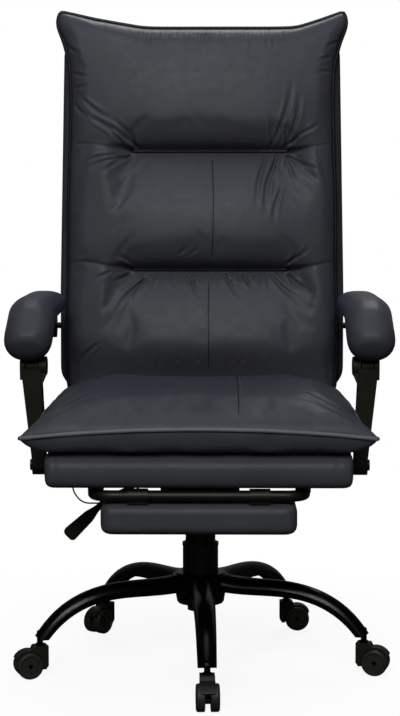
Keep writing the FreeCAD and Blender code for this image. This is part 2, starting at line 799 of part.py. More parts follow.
def recline_lock():
    """The closed ratchet housing of the recline hinge, on the lever's side."""
    outer = side_plate_inner + side_plate_wall
    disc = rod(side_plate_nose - 1, side_view(recline_hinge, outer), side_view(recline_hinge, outer + 8))
    disc = rounded(disc, 2, lambda e: e.BoundBox.XMin > outer + 7)
    hole = rod(pin_head_radius + 0.3, side_view(recline_hinge, outer - 1), side_view(recline_hinge, outer + 9))
    return mirrored(disc.cut(hole))


# Backrest

def shell_outline(inset, y):
    """Front view of the back shell, with a narrower tongue below the shoulders."""
    low = shell_half_low - inset
    top = shell_half_top - inset
    tongue = shell_tongue_half - inset
    corner = 46.0 - inset * 0.5
    k = corner * (1 - math.sqrt(0.5))
    base = shell_bottom + inset
    shoulder = shell_shoulder + inset
    high = shell_top - inset

    def right_side(s):
        places = [(tongue - 30, base), (tongue, base + 30), (tongue, shoulder - 14), (tongue + 8, shoulder),
                  (low - 10, shoulder), (low, shoulder + 10), (low, shoulder + 190), (top, high - corner)]
        return [V(s * x, y, z) for x, z in places]

    right = right_side(1)
    left = right_side(-1)
    bow = 6.0
    return outline(V(0, y, base), right[0], (V(tongue - 9, y, base + 9), right[1]), *right[2:],
                   (V(top - k, y, high - k), V(top - corner, y, high)),
                   (V(0, y, high + bow), V(-top + corner, y, high)), (V(-top + k, y, high - k), left[7]),
                   *left[6:0:-1], (V(-tongue + 9, y, base + 9), left[0]))


def back_shell():
    front = lean_y
    rear = front + shell_depth
    skin = Part.makeLoft([shell_outline(0.0, front), shell_outline(0.0, rear - 16),
                          shell_outline(5.0, rear - 4), shell_outline(14.0, rear)], True, True)
    pocket = prism(shell_outline(shell_rim, front - 1), Y * (shell_depth - shell_wall + 1))
    shell = skin.cut(pocket)
    for side in (LEFT, RIGHT):
        x0 = side_plate_inner - plate_gap - back_arm_wall - 1
        x1 = side_plate_inner - plate_gap + 1
        slot = box((x0, front - 1, shell_bottom), (x1, front + shell_depth - shell_wall, shell_shoulder + 40))
        shell = shell.cut(sided(slot, side))
        pivot = upright(rear_arm_pivot)
        bolt_hole = rod(pivot_radius + 1, side_view(pivot, x0), side_view(pivot, shell_half_low + 10))
        shell = shell.cut(sided(bolt_hole, side))
    return lean(shell)


def back_board():
    half = back_board_half
    board = box((-half, lean_y, shell_shoulder + shell_rim + 2), (half, lean_y + 12, shell_top - shell_rim - 8))
    board = rounded(board, 40, lambda e: e.BoundBox.YLength > 11.9 and e.BoundBox.ZLength < 0.01
                    and e.BoundBox.XLength < 0.01)
    return lean(board)


def back_arm(side):
    """A steel strip up the inside of the shell from the recline hinge past the arm pivot."""
    x = side_plate_inner - plate_gap - back_arm_wall
    hinge = upright(recline_hinge)
    pivot = upright(rear_arm_pivot)
    nose = side_plate_nose - 2
    front = lean_y + 13
    rear = front + back_arm_width - 8
    strip = outline(V(x, hinge[0] - nose, hinge[1]),
                    (V(x, hinge[0], hinge[1] - nose), V(x, hinge[0] + nose * 0.8, hinge[1] + nose * 0.6)),
                    (V(x, rear + 1, hinge[1] + 60), V(x, rear, hinge[1] + 120)), V(x, rear, back_arm_top),
                    V(x, front, back_arm_top), V(x, front, hinge[1] + 120),
                    (V(x, front - 4, hinge[1] + 60), V(x, hinge[0] - nose, hinge[1])))
    plate = prism(strip, X * back_arm_wall)
    boss = rod(pivot_radius * 2, side_view(pivot, x), side_view(pivot, x + back_arm_wall))
    plate = plate.fuse(boss)
    plate = plate.cut(rod(pivot_radius + running_gap, side_view(hinge, x - 5), side_view(hinge, x + 15)))
    plate = plate.cut(rod(pivot_radius, side_view(pivot, x - 5), side_view(pivot, x + 15)))
    return lean(sided(plate, side))


def arm_pivot_bolts():
    bolts = []
    inner = side_plate_inner - plate_gap - back_arm_wall
    outer = arm_bar_inner + arm_bar_width + 0.4
    for side in (LEFT, RIGHT):
        shank = rod(pivot_radius, side_view(rear_arm_pivot, inner), side_view(rear_arm_pivot, outer + 1))
        nut = rod(pin_head_radius, side_view(rear_arm_pivot, inner - 4), side_view(rear_arm_pivot, inner))
        head = rod(pin_head_radius, side_view(rear_arm_pivot, outer),
                   side_view(rear_arm_pivot, outer + pin_head_height))
        bolts.append(sided(shank.fuse(nut).fuse(head), side))
    return bolts


def back_profile(x, fullness):
    """Side view of the back cushion at one place across it: three crowned zones sewn in between."""
    rear = lean_y - soft_gap
    top = back_cushion_top + (back_ear_top - back_cushion_top) * (x / back_ear_half) ** 2

    def face(depth, z):
        return V(x, rear - depth * fullness, z)

    low_mid = (back_cushion_bottom + channel_low) / 2
    mid_mid = (channel_low + channel_high) / 2
    high_mid = (channel_high + top) / 2
    return outline(V(x, rear, back_cushion_bottom), face(24, back_cushion_bottom + 4),
                   (face(low_crown, low_mid), face(channel_depth, channel_low)),
                   (face(mid_crown, mid_mid), face(channel_depth, channel_high)),
                   (face(head_crown, high_mid), face(16, top - 2)), V(x, rear, top))


def back_front_view(y):
    """Front view of the back cushion: sides drawn in at the channels, ears flared at the top."""
    low = back_half_low
    mid = back_half_mid
    ear = back_ear_half
    foot = back_cushion_bottom - 2
    neck = channel_high + 158
    above = back_ear_top + 60

    def side(s):
        places = [(low - 12, foot), (low, (foot + channel_low) / 2), (low - 6, channel_low),
                  (low - 5, (channel_low + channel_high) / 2), (mid - 2, channel_high),
                  (mid, channel_high + 80), (mid + 6, neck),
                  (mid + 14, (neck + back_ear_top) / 2 + 6), (ear, back_ear_top - 4)]
        return [V(s * x, y, z) for x, z in places]

    left = side(1)
    right = side(-1)
    return outline(V(0, y, foot), left[0], (left[1], left[2]), (left[3], left[4]), (left[5], left[6]),
                   (left[7], left[8]), V(ear, y, above), V(-ear, y, above), right[8], (right[7], right[6]),
                   (right[5], right[4]), (right[3], right[2]), (right[1], right[0]))


def back_cushion():
    half = back_ear_half + 6
    places = ((-half, 0.3), (-half * 0.8, 0.8), (-half * 0.42, 0.97), (0, 1.0),
              (half * 0.42, 0.97), (half * 0.8, 0.8), (half, 0.3))
    body = Part.makeLoft([back_profile(x, fullness) for x, fullness in places], True, False)
    front = prism(back_front_view(lean_y - 150), Y * 300)
    return lean(body.common(front))


# Arms

def arm_pad(side):
    """A padded armrest whose front end rolls down, lofted through rounded sections along its length."""
    inner = arm_pad_inner
    outer = arm_pad_inner + arm_pad_width
    top = arm_pad_top
    under = arm_pad_under

    def section(y, z_top, z_low, inset, slope):
        c = 15.0 - inset * 0.2
        k = c * (1 - math.sqrt(0.5))
        x0 = inner + inset
        x1 = outer - inset
        lean_in = slope

        def at(x, z):
            return V(x, y + lean_in * (z - z_low), z)

        return outline(at(x0 + c, z_low), at(x1 - c, z_low), (at(x1 - k, z_low + k), at(x1, z_low + c)),
                       at(x1, z_top - c), (at(x1 - k, z_top - k), at(x1 - c, z_top)),
                       (at((x0 + x1) / 2, z_top + 3), at(x0 + c, z_top)),
                       (at(x0 + k, z_top - k), at(x0, z_top - c)),
                       at(x0, z_low + c), (at(x0 + k, z_low + k), at(x0 + c, z_low)))

    sections = [
        section(arm_pad_rear, top - 10, under + 6, 12, 0),
        section(arm_pad_rear - 14, top - 3, under, 3, 0),
        section(arm_pad_rear - 60, top - 2, under, 0, 0),
        section(0, top - 3, under, 0, 0),
        section(-80, top - 3, under - 4, 0, 0),
        section(-128, top - 8, under - 26, 0, 0),
        section(-160, top - 24, arm_droop + 8, 1, 0),
        section(-182, top - 46, arm_droop, 5, 0),
        section(arm_pad_front, top - 66, arm_droop + 14, 16, 0),
    ]
    pad = Part.makeLoft(sections, True, False)
    bar_room = box((arm_bar_inner - soft_gap, front_arm_pivot[0], arm_droop),
                   (arm_bar_inner + arm_bar_width + soft_gap, arm_pad_rear + 50, under))
    return sided(pad.cut(bar_room), side)


def arm_bar(side):
    """The pressed channel under the pad, from the fork of the post to the lug on the backrest."""
    x = arm_bar_inner
    nose = arm_bar_nose * 0.7
    lug = arm_bar_lug
    top = arm_pad_under - soft_gap
    low = top - arm_bar_depth

    def from_front(y, z):
        return V(x, front_arm_pivot[0] + y, z)

    def from_rear(y, z):
        return V(x, rear_arm_pivot[0] + y, z)

    fork = front_arm_pivot[1]
    hinge = rear_arm_pivot[1]
    bar = outline(from_front(-nose, fork + nose),
                  (from_front(-nose, fork - nose), from_front(nose, fork - nose)),
                  from_front(64, low - 6), (from_front(78, low - 1), from_front(96, low)),
                  from_rear(-lug * 1.9, low),
                  (from_rear(-lug * 1.2, low - 8), from_rear(-lug * 0.94, hinge - lug * 0.34)),
                  (from_rear(lug * 0.7, hinge - lug * 0.7), from_rear(lug * 0.34, hinge + lug * 0.94)),
                  from_rear(-lug, top), from_front(62, top),
                  (from_front(34, top - 12), from_front(16, top - 32)))
    bar = prism(bar, X * arm_bar_width)
    channel = box((x + arm_bar_wall, front_arm_pivot[0] + 96, low - 1),
                  (x + arm_bar_width - arm_bar_wall, rear_arm_pivot[0] - lug * 1.9, top - arm_bar_wall))
    bar = bar.cut(channel)
    for pivot, gap in ((rear_arm_pivot, running_gap), (front_arm_pivot, 0.5)):
        bar = bar.cut(rod(pivot_radius + gap, side_view(pivot, x - 5), side_view(pivot, x + 30)))
    return sided(bar, side)


def post_axis(z):
    """How far forward the middle of a post lies at a height."""
    share = (z - post_pivot[1]) / (front_arm_pivot[1] - post_pivot[1])
    return post_pivot[0] + (front_arm_pivot[0] - post_pivot[0]) * share


def post_pockets(low, high):
    """The moulded pockets between the ribs on a post's inner face."""
    x = post_inner_low - 10
    half = post_half_depth - post_wall
    pitch = (high - low + post_rib) / post_pocket_count
    pockets = []
    for index in range(post_pocket_count):
        start = low + index * pitch
        end = start + pitch - post_rib
        opening = outline(V(x, post_axis(start) - half, start), V(x, post_axis(start) + half, start),
                          V(x, post_axis(end) + half, end), V(x, post_axis(end) - half, end))
        pockets.append(prism(opening, X * (post_pocket_depth + 10)))
    return pockets


def post_ear():
    """The boss round the front pivot on the inner face, with a wedge that carries it."""
    pivot = front_arm_pivot
    inner = post_inner_high - ear_reach
    boss = rod(ear_radius, side_view(pivot, inner), side_view(pivot, post_inner_high + 1))
    boss = rounded(boss, 2, lambda e: e.BoundBox.XMax < inner + 0.01)
    y = pivot[0] - ear_radius * 0.7
    wedge = outline(V(inner, y, pivot[1]), V(inner, y, pivot[1] - ear_radius * 0.7),
                    V(post_inner_high + 1, y, pivot[1] - ear_drop), V(post_inner_high + 1, y, pivot[1]))
    return boss.fuse(prism(wedge, Y * ear_radius * 1.4))


def arm_post(side):
    """A tapered moulding: its front view crossed with its side view, with a fork for the arm bar."""
    low = post_pivot
    high = front_arm_pivot
    half = post_half_depth
    bevel = 3.0
    fork_low = high[1] - fork_height - 8
    fork_top = high[1] + fork_height
    boss_top = low[1] + pin_head_radius + 2
    front = -400.0
    front_view = outline(V(post_inner_low, front, boss_top), V(post_inner_low, front, low[1] - half),
                         V(post_outer_low, front, low[1] - half), V(post_outer_low, front, boss_top),
                         V(post_outer_high - 4, front, fork_low), V(post_outer_high, front, fork_low),
                         V(post_outer_high, front, fork_top - bevel),
                         V(post_outer_high - bevel, front, fork_top),
                         V(post_inner_high + bevel, front, fork_top),
                         V(post_inner_high, front, fork_top - bevel), V(post_inner_high, front, fork_low))
    start = post_inner_low - 20
    side_face = outline(V(start, low[0] - half, low[1]),
                        (V(start, low[0], low[1] - half), V(start, low[0] + half, low[1])),
                        V(start, high[0] + half, high[1]),
                        (V(start, high[0], high[1] + half), V(start, high[0] - half, high[1])))
    post = prism(front_view, Y * 2 * abs(front)).common(prism(side_face, X * 100))
    for pocket in post_pockets(boss_top + post_rib, high[1] - ear_drop - post_rib):
        post = post.cut(pocket)
    post = post.fuse(post_ear())
    slot_in = arm_bar_inner - fork_gap
    slot_out = arm_bar_inner + arm_bar_width + fork_gap
    reach = arm_bar_nose + 2
    slot = rod(reach, side_view(high, slot_in), side_view(high, slot_out))
    throat = box((slot_in, high[0] - reach + 4, high[1]), (slot_out, high[0] + 60, high[1] + 60))
    back_throat = box((slot_in, high[0], high[1] - reach), (slot_out, high[0] + 60, high[1] + 60))
    post = post.cut(slot).cut(throat).cut(back_throat)
    post = post.cut(rod(pivot_radius + running_gap, side_view(low, post_inner_low - 10),
                        side_view(low, post_outer_high)))
    pin_start = post_inner_high - ear_reach + 2
    pin = rod(pivot_radius, side_view(high, pin_start), side_view(high, post_outer_high))
    return sided(post.fuse(pin), side)


# Footrest

def footrest_frame():
    """One tube bent to a U: its legs slide in the guides and its front bar carries the rest."""
    k = tube_bend * (1 - math.sqrt(0.5))
    x = tube_leg_x
    y = tube_y
    z = tube_z
    path = Part.Wire([
        line(V(-x, tube_leg_end, z), V(-x, y + tube_bend, z)),
        Part.Arc(V(-x, y + tube_bend, z), V(-x + k, y + k, z), V(-x + tube_bend, y, z)).toShape(),
        line(V(-x + tube_bend, y, z), V(x - tube_bend, y, z)),
        Part.Arc(V(x - tube_bend, y, z), V(x - k, y + k, z), V(x, y + tube_bend, z)).toShape(),
        line(V(x, y + tube_bend, z), V(x, tube_leg_end, z)),
    ])
    start = V(-x, tube_leg_end, z)
    outer = path.makePipeShell([Part.Wire(Part.makeCircle(tube_radius, start, -Y))], True, False)
    inner = path.makePipeShell([Part.Wire(Part.makeCircle(tube_radius - tube_wall, start, -Y))], True, False)
    return outer.cut(inner)


def footrest_guide():
    """A channel under the seat board round one leg of the tube, open below."""
    bore = tube_radius + running_gap
    out = bore + guide_wall
    x = tube_leg_x
    hole = rod(bore, V(x, guide_front - 1, tube_z), V(x, guide_rear + 1, tube_z))
    block = box((x - out, guide_front, tube_z - 4), (x + out, guide_rear, pad_bottom))
    block = block.fuse(rod(out, V(x, guide_front, tube_z), V(x, guide_rear, tube_z)))
    window = box((x - out - 1, guide_front + 60, tube_z - 30), (x + out + 1, guide_rear - 60, tube_z + 5))
    wing_bottom = pad_bottom - guide_wall
    wing = box((x - guide_wing, guide_front, wing_bottom), (x + guide_wing, guide_rear, pad_bottom))
    return block.cut(hole).cut(window).fuse(wing).cut(hole)


def footrest_board():
    half_y = (rest_rear - rest_front) / 2 - 18
    board = rounded_plate(rest_half_width - 16, half_y, rest_board_bottom, rest_board_top, 16)
    board.translate(Y * (rest_rear + rest_front) / 2)
    return board


def footrest_cushion():
    pad = padded_block(rest_half_width, rest_front + 4, rest_rear, rest_bottom, rest_board_top, 4, 26, 24, 8)
    return pad.cut(footrest_board())


def footrest_clips():
    """Two hinge sleeves round the front bar, each on a foot screwed to the footrest board."""
    clips = []
    bore = tube_radius + running_gap
    for x in (-clip_x, clip_x):
        low_x = x - clip_half_width
        high_x = x + clip_half_width
        sleeve = rod(bore + clip_wall, V(low_x, tube_y, tube_z), V(high_x, tube_y, tube_z))
        foot = box((low_x, tube_y - 8, rest_board_top), (high_x, tube_y + 34, rest_board_top + clip_wall))
        hole = rod(bore, V(low_x - 1, tube_y, tube_z), V(high_x + 1, tube_y, tube_z))
        clips.append(sleeve.fuse(foot).cut(hole))
    return clips


def build_base():
    export("base_star", base_star())
    export("caster_stems", *caster_stems())
    export("column_tube", column_tube())
    export("guide_bush", guide_bush())
    export("thrust_bearing", *thrust_bearing())
    export("retaining_clip", retaining_clip())
    export("cover_outer", cover_outer())


def build_casters():
    housing = caster_housing()
    axle = caster_axle()
    wheels = {"left": caster_wheel(LEFT), "right": caster_wheel(RIGHT)}
    for index in range(leg_count):
        turn = math.radians(leg_angle(index))
        spot = V(stem_circle * math.cos(turn), stem_circle * math.sin(turn), 0)
        name = "caster_%d" % (index + 1)
        trail = trail_angles[index]
        export(name + "_housing", placed(housing, trail, spot))
        export(name + "_axle", placed(axle, trail, spot))
        for hand, wheel in wheels.items():
            export("%s_wheel_%s" % (name, hand), placed(wheel, trail, spot))


def build_lift():
    export("piston_rod", piston_rod())
    export("gas_cylinder", gas_cylinder())
    export("valve_button", valve_button())
    export("cover_middle", cover_middle())
    export("cover_inner", cover_inner())


def build_mechanism():
    export("mechanism_plate", mechanism_plate())
    export("lever_rocker", lever_rocker())
    export("lever_rod", lever_rod())
    export("lever_paddle", lever_paddle())
    export("recline_cable", bent_rod(list(cable_route), cable_radius))
    export("recline_lock", recline_lock())


def build_seat():
    export("seat_board", seat_board())
    export("seat_base_pad", seat_base_pad())
    export("seat_cushion", seat_cushion())
    export("seat_bolts", *seat_bolts())
    export("seat_side_plates", side_plate(), mirrored(side_plate()))
    export("hinge_pins", *hinge_pins())


def build_back():
    export("back_shell", back_shell())
    export("back_board", back_board())
    export("back_arms", back_arm(LEFT), back_arm(RIGHT))
    export("back_cushion", back_cushion())
    export("arm_pivot_bolts", *arm_pivot_bolts())


def build_arms():
    for side, name in ((LEFT, "left"), (RIGHT, "right")):
        export("arm_pad_" + name, arm_pad(side))
        export("arm_bar_" + name, arm_bar(side))
        export("arm_post_" + name, arm_post(side))


def build_footrest():
    export("footrest_guides", footrest_guide(), mirrored(footrest_guide()))
    export("footrest_frame", footrest_frame())
    export("footrest_board", footrest_board())
    export("footrest_cushion", footrest_cushion())
    export("footrest_clips", *footrest_clips())


os.makedirs("parts", exist_ok=True)
build_base()
build_casters()
build_lift()
build_mechanism()
build_seat()
build_back()
build_arms()
build_footrest()
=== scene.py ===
import json
import math

import bpy
import numpy as np
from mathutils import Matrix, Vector
from mathutils.bvhtree import BVHTree


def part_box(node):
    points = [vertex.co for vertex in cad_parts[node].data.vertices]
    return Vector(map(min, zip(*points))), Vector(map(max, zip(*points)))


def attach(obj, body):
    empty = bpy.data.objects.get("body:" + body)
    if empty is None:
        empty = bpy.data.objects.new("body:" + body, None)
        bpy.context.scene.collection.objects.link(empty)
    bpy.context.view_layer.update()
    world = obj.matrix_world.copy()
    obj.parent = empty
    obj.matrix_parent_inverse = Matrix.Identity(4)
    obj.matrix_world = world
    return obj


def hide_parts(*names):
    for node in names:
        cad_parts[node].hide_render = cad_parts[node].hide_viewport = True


# A high-backed reclining office chair in black polyurethane leather, with linked arms and a footrest.
# Lengths are millimetres, turned into metres as each mesh is made. The lamps are in metres.
# +Z is up and the chair faces -Y.

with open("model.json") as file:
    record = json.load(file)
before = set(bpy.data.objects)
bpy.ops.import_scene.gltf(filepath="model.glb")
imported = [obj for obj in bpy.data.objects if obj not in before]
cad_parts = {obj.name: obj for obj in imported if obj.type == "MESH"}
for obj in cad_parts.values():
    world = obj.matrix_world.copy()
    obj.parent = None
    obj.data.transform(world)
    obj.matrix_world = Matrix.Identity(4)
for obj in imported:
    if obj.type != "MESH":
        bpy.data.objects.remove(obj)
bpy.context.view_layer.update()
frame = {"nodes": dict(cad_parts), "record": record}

MM = 0.001
SEED = 7

# Camera, fitted to the wheels' floor contacts and the five caster stems
camera_place = (38.5, -3225.8, 842.0)
camera_pitch = 4.8  # degrees below the horizon
camera_turn = 0.7  # degrees to the sitter's right
camera_lens = 88.0

# Studio, where a white card facing the key light renders about white
card_strength = 0.14  # the white backdrop as glossy surfaces see it
room_strength = 0.04
floor_glow = 0.90  # share of plain white in the floor close to the chair
shadow_reach = 0.9  # metres from the chair at which the floor has turned plain white
floor_half = 9000.0

# Backrest, drawn upright and then leaned back about its lower edge, as the CAD frame is
lean_angle = 3.6
lean_y = 200.0
lean_z = 490.0
soft_clear = 0.3  # between the cushion's flat rear and its board
strip_left = -136.0  # the welt in each sewn channel, a little off centre
strip_right = 169.0
strip_height = 9.0
strip_z = (727.0, 957.0)
strip_middle = (strip_left + strip_right) / 2
strip_half = (strip_right - strip_left) / 2
side_seam_z = (741.0, 970.0)
seam_half = 258.0  # half width at which the two seams reach the sides
back_bottom = 472.0
back_top = 1198.0
channel_floor = 22.0  # depth of the back cushion at the bottom of a channel
zone_crowns = (76.0, 76.0, 72.0)
belly_share = 0.27  # share of a zone's height at which it is fullest
lumbar_height = 260.0
head_height = 235.0
edge_depth = 17.0
rim_depth = edge_depth * 0.55  # of the piped rim, in front of the board
shell_low = 428.0
shell_high = 1184.0
shell_depth = 43.0
shell_side = 270.0

# Seat cushion
seat_front = -290.0
seat_rear = 150.0
seat_crown = 523.0
seat_front_seam = 478.0
seat_ear_seam = 457.5
seat_side_seam = 487.0
seat_rest = 431.3
seat_join_x = 68.0

# Sewing and folds
piping_radius = 3.6
piping_step = 5.0
join_radius = 0.9
join_sink = 0.1
stitch_lift = 0.2  # height of a stitch's middle over the leather
stitch_beside = 4.5  # from a join to the row of stitches that holds it
stitch_sizes = {"Pitch": 5.0, "Stitch length": 3.6, "Thread thickness": 0.9}
crease_gain = 1.5  # deepens every drawn fold alike
cloth_frames = 20


def size_of(name):
    """Lowest and highest corner of a CAD node, in millimetres."""
    low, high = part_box(name)
    return np.array(low) / MM, np.array(high) / MM


# Small tools

def smooth(x):
    """0 to 1 with flat ends."""
    x = np.clip(x, 0.0, 1.0)
    return x * x * (3 - 2 * x)


def quarter(x):
    """Height of a quarter circle over a share of its radius."""
    x = np.clip(x, 0.0, 1.0)
    return np.sqrt(1 - (1 - x) ** 2)


def swell(x):
    """Height of a quarter sine over a share of its length."""
    return np.sin(np.clip(x, 0.0, 1.0) * math.pi / 2)


def curve_through(x, places, values):
    """Values between given places, eased so that the line has no corners."""
    window = 31
    fine = np.linspace(places[0], places[-1], 400)
    raw = np.interp(fine, places, values)
    kernel = np.hanning(window)
    padded = np.pad(raw, window // 2, mode="reflect", reflect_type="odd")
    return np.interp(x, fine, np.convolve(padded, kernel / kernel.sum(), "valid"))


def leaned(points):
    """Turns upright points of the backrest back by its lean."""
    points = np.array(points, float)
    turn = math.radians(lean_angle)
    dy = points[:, 1] - lean_y
    dz = points[:, 2] - lean_z
    points[:, 1] = lean_y + dy * math.cos(turn) + dz * math.sin(turn)
    points[:, 2] = lean_z - dy * math.sin(turn) + dz * math.cos(turn)
    return points


def in_scene(name, data):
    """An object with this data, put in the scene."""
    made = bpy.data.objects.new(name, data)
    bpy.context.scene.collection.objects.link(made)
    return made


def to_piece(name, points, faces, material, smooth_shaded=True):
    """A mesh object from points in millimetres."""
    mesh = bpy.data.meshes.new(name)
    corners = [tuple(point) for point in np.array(points) * MM]
    mesh.from_pydata(corners, [], [tuple(int(i) for i in face) for face in faces])
    mesh.update()
    if smooth_shaded:
        mesh.polygons.foreach_set("use_smooth", [True] * len(mesh.polygons))
    mesh.materials.append(material)
    return in_scene(name, mesh)


def points_of(piece):
    """The piece's points in millimetres."""
    places = np.zeros(len(piece.data.vertices) * 3)
    piece.data.vertices.foreach_get("co", places)
    return places.reshape(-1, 3) / MM


def set_points(piece, points):
    piece.data.vertices.foreach_set("co", (np.array(points) * MM).astype(np.float32).ravel())
    piece.data.update()


def plain_mesh(piece):
    """Replaces the piece's mesh and modifiers with the finished mesh."""
    graph = bpy.context.evaluated_depsgraph_get()
    made = bpy.data.meshes.new_from_object(piece.evaluated_get(graph), depsgraph=graph)
    piece.modifiers.clear()
    piece.data = made
    return piece


def subdivided(piece):
    """Rounds a piece by one step of subdivision and keeps the rounded mesh."""
    rounding = piece.modifiers.new("round", "SUBSURF")
    rounding.levels = 1
    rounding.render_levels = 1
    return plain_mesh(piece)


def finished(piece, body, replaced=()):
    """The calls that every new piece needs once its shape is final."""
    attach(piece, body)
    if replaced:
        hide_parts(*replaced)
    return piece


# Materials

def srgb(colour):
    """Linear RGBA of a hex colour such as "1c1d20"."""
    values = [int(colour[i:i + 2], 16) / 255 for i in (0, 2, 4)]
    linear = [v / 12.92 if v <= 0.04045 else ((v + 0.055) / 1.055) ** 2.4 for v in values]
    return (*linear, 1.0)


def node(tree, kind, values=None, feeds=None, **settings):
    """Adds a node. Values are a constant or another node's output, by input name or number.

    Its first output can feed a socket.
    """
    made = tree.nodes.new(kind)
    for name, setting in settings.items():
        setattr(made, name, setting)
    for name, value in (values or {}).items():
        if isinstance(value, bpy.types.NodeSocket):
            tree.links.new(value, made.inputs[name])
        else:
            made.inputs[name].default_value = value
    if feeds is not None:
        tree.links.new(made.outputs[0], feeds)
    return made


def new_material(name, colour, roughness, **sockets):
    """A Principled material. Returns it with its tree, its shader and the object's own coordinates."""
    material = bpy.data.materials.new(name)
    material.use_nodes = True
    tree = material.node_tree
    shader = tree.nodes["Principled BSDF"]
    shader.inputs["Base Color"].default_value = srgb(colour)
    shader.inputs["Roughness"].default_value = roughness
    for socket, value in sockets.items():
        shader.inputs[socket.replace("_", " ")].default_value = value
    return material, tree, shader, node(tree, "ShaderNodeTexCoord").outputs["Object"]


def varied_colour(tree, shader, place, low, high, grain_mm):
    """Drifts the base colour between two near shades over patches of a real size."""
    patches = node(tree, "ShaderNodeTexNoise", {"Vector": place, "Scale": 1000 / grain_mm, "Detail": 3.0})
    ramp = node(tree, "ShaderNodeValToRGB", {"Fac": patches.outputs["Fac"]},
                feeds=shader.inputs["Base Color"])
    for stop, position, colour in zip(ramp.color_ramp.elements, (0.35, 0.65), (low, high)):
        stop.position = position
        stop.color = srgb(colour)


def varied_roughness(tree, shader, place, low, high, grain_mm):
    """Drifts the roughness between two values, so that a highlight isn't quite even."""
    patches = node(tree, "ShaderNodeTexNoise", {"Vector": place, "Scale": 1000 / grain_mm, "Detail": 4.0})
    node(tree, "ShaderNodeMapRange", {"Value": patches.outputs["Fac"], "From Min": 0.3,
                                      "From Max": 0.7, "To Min": low, "To Max": high},
         feeds=shader.inputs["Roughness"])


def pu_leather(name, colour_low, colour_high, roughness, sheen):
    """Polyurethane-coated split leather, calendered smooth: a satin coat over a fine pebbled grain.

    The eye sees a soft wide sheen, a faint blue cast at low angles, and grain only close by.
    """
    material, tree, shader, place = new_material(name, colour_low, roughness, Specular_IOR_Level=0.12,
                                                 Sheen_Weight=sheen, Sheen_Roughness=0.4)
    shader.inputs["Sheen Tint"].default_value = srgb("5a66b4")
    varied_colour(tree, shader, place, colour_low, colour_high, 90.0)
    varied_roughness(tree, shader, place, roughness - 0.04, roughness + 0.05, 14.0)
    pebbles = node(tree, "ShaderNodeTexVoronoi", {"Vector": place, "Scale": 1000 / 1.5}, feature="SMOOTH_F1")
    creases = node(tree, "ShaderNodeTexNoise", {"Vector": place, "Scale": 1000 / 6.0, "Detail": 5.0})
    grain = node(tree, "ShaderNodeBump", {"Height": pebbles.outputs["Distance"], "Strength": 0.10,
                                          "Distance": 0.00018})
    node(tree, "ShaderNodeBump", {"Height": creases.outputs["Fac"], "Strength": 0.12,
                                  "Distance": 0.0006, "Normal": grain.outputs["Normal"]},
         feeds=shader.inputs["Normal"])
    return material


def enamel():
    """Stove enamel on a welded steel base: a smooth gloss film with a little orange peel."""
    material, tree, shader, place = new_material("gloss_black_enamel_on_steel", "020202", 0.24,
                                                 Specular_IOR_Level=0.14)
    varied_roughness(tree, shader, place, 0.2, 0.27, 30.0)
    peel = node(tree, "ShaderNodeTexNoise", {"Vector": place, "Scale": 1000 / 4.0, "Detail": 1.0})
    node(tree, "ShaderNodeBump", {"Height": peel.outputs["Fac"], "Strength": 0.03, "Distance": 0.0002},
         feeds=shader.inputs["Normal"])
    return material


def powder_coat():
    """Polyester powder coat on pressed steel: satin, with a fine sandy texture."""
    material, tree, shader, place = new_material("satin_powder_coat", "0b0b0a", 0.42,
                                                 Specular_IOR_Level=0.16)
    varied_colour(tree, shader, place, "0b0b0a", "10100f", 35.0)
    sand = node(tree, "ShaderNodeTexNoise", {"Vector": place, "Scale": 1000 / 0.9, "Detail": 3.0})
    node(tree, "ShaderNodeBump", {"Height": sand.outputs["Fac"], "Strength": 0.12, "Distance": 0.0002},
         feeds=shader.inputs["Normal"])
    return material


def nylon(name, colour_low, colour_high, roughness, grit_mm):
    """Moulded glass-filled nylon, or extruded vinyl: an even matte skin with fine pimples."""
    material, tree, shader, place = new_material(name, colour_low, roughness, Specular_IOR_Level=0.13)
    varied_colour(tree, shader, place, colour_low, colour_high, 22.0)
    pimples = node(tree, "ShaderNodeTexNoise", {"Vector": place, "Scale": 1000 / grit_mm, "Detail": 2.0})
    node(tree, "ShaderNodeBump", {"Height": pimples.outputs["Fac"], "Strength": 0.15, "Distance": 0.0002},
         feeds=shader.inputs["Normal"])
    return material


def turned_steel(name, colour):
    """Ground or turned steel, plated or blackened: fine lines round it and a soft reflection."""
    material, tree, shader, place = new_material(name, colour, 0.3, Metallic=1.0)
    stretched = node(tree, "ShaderNodeMapping", {"Vector": place, "Scale": (1.0, 1.0, 14.0)})
    lines = node(tree, "ShaderNodeTexNoise", {"Vector": stretched.outputs["Vector"], "Scale": 1000 / 9.0,
                                              "Detail": 6.0})
    node(tree, "ShaderNodeMapRange", {"Value": lines.outputs["Fac"], "To Min": 0.2, "To Max": 0.42},
         feeds=shader.inputs["Roughness"])
    node(tree, "ShaderNodeBump", {"Height": lines.outputs["Fac"], "Strength": 0.08, "Distance": 0.0002},
         feeds=shader.inputs["Normal"])
    return material


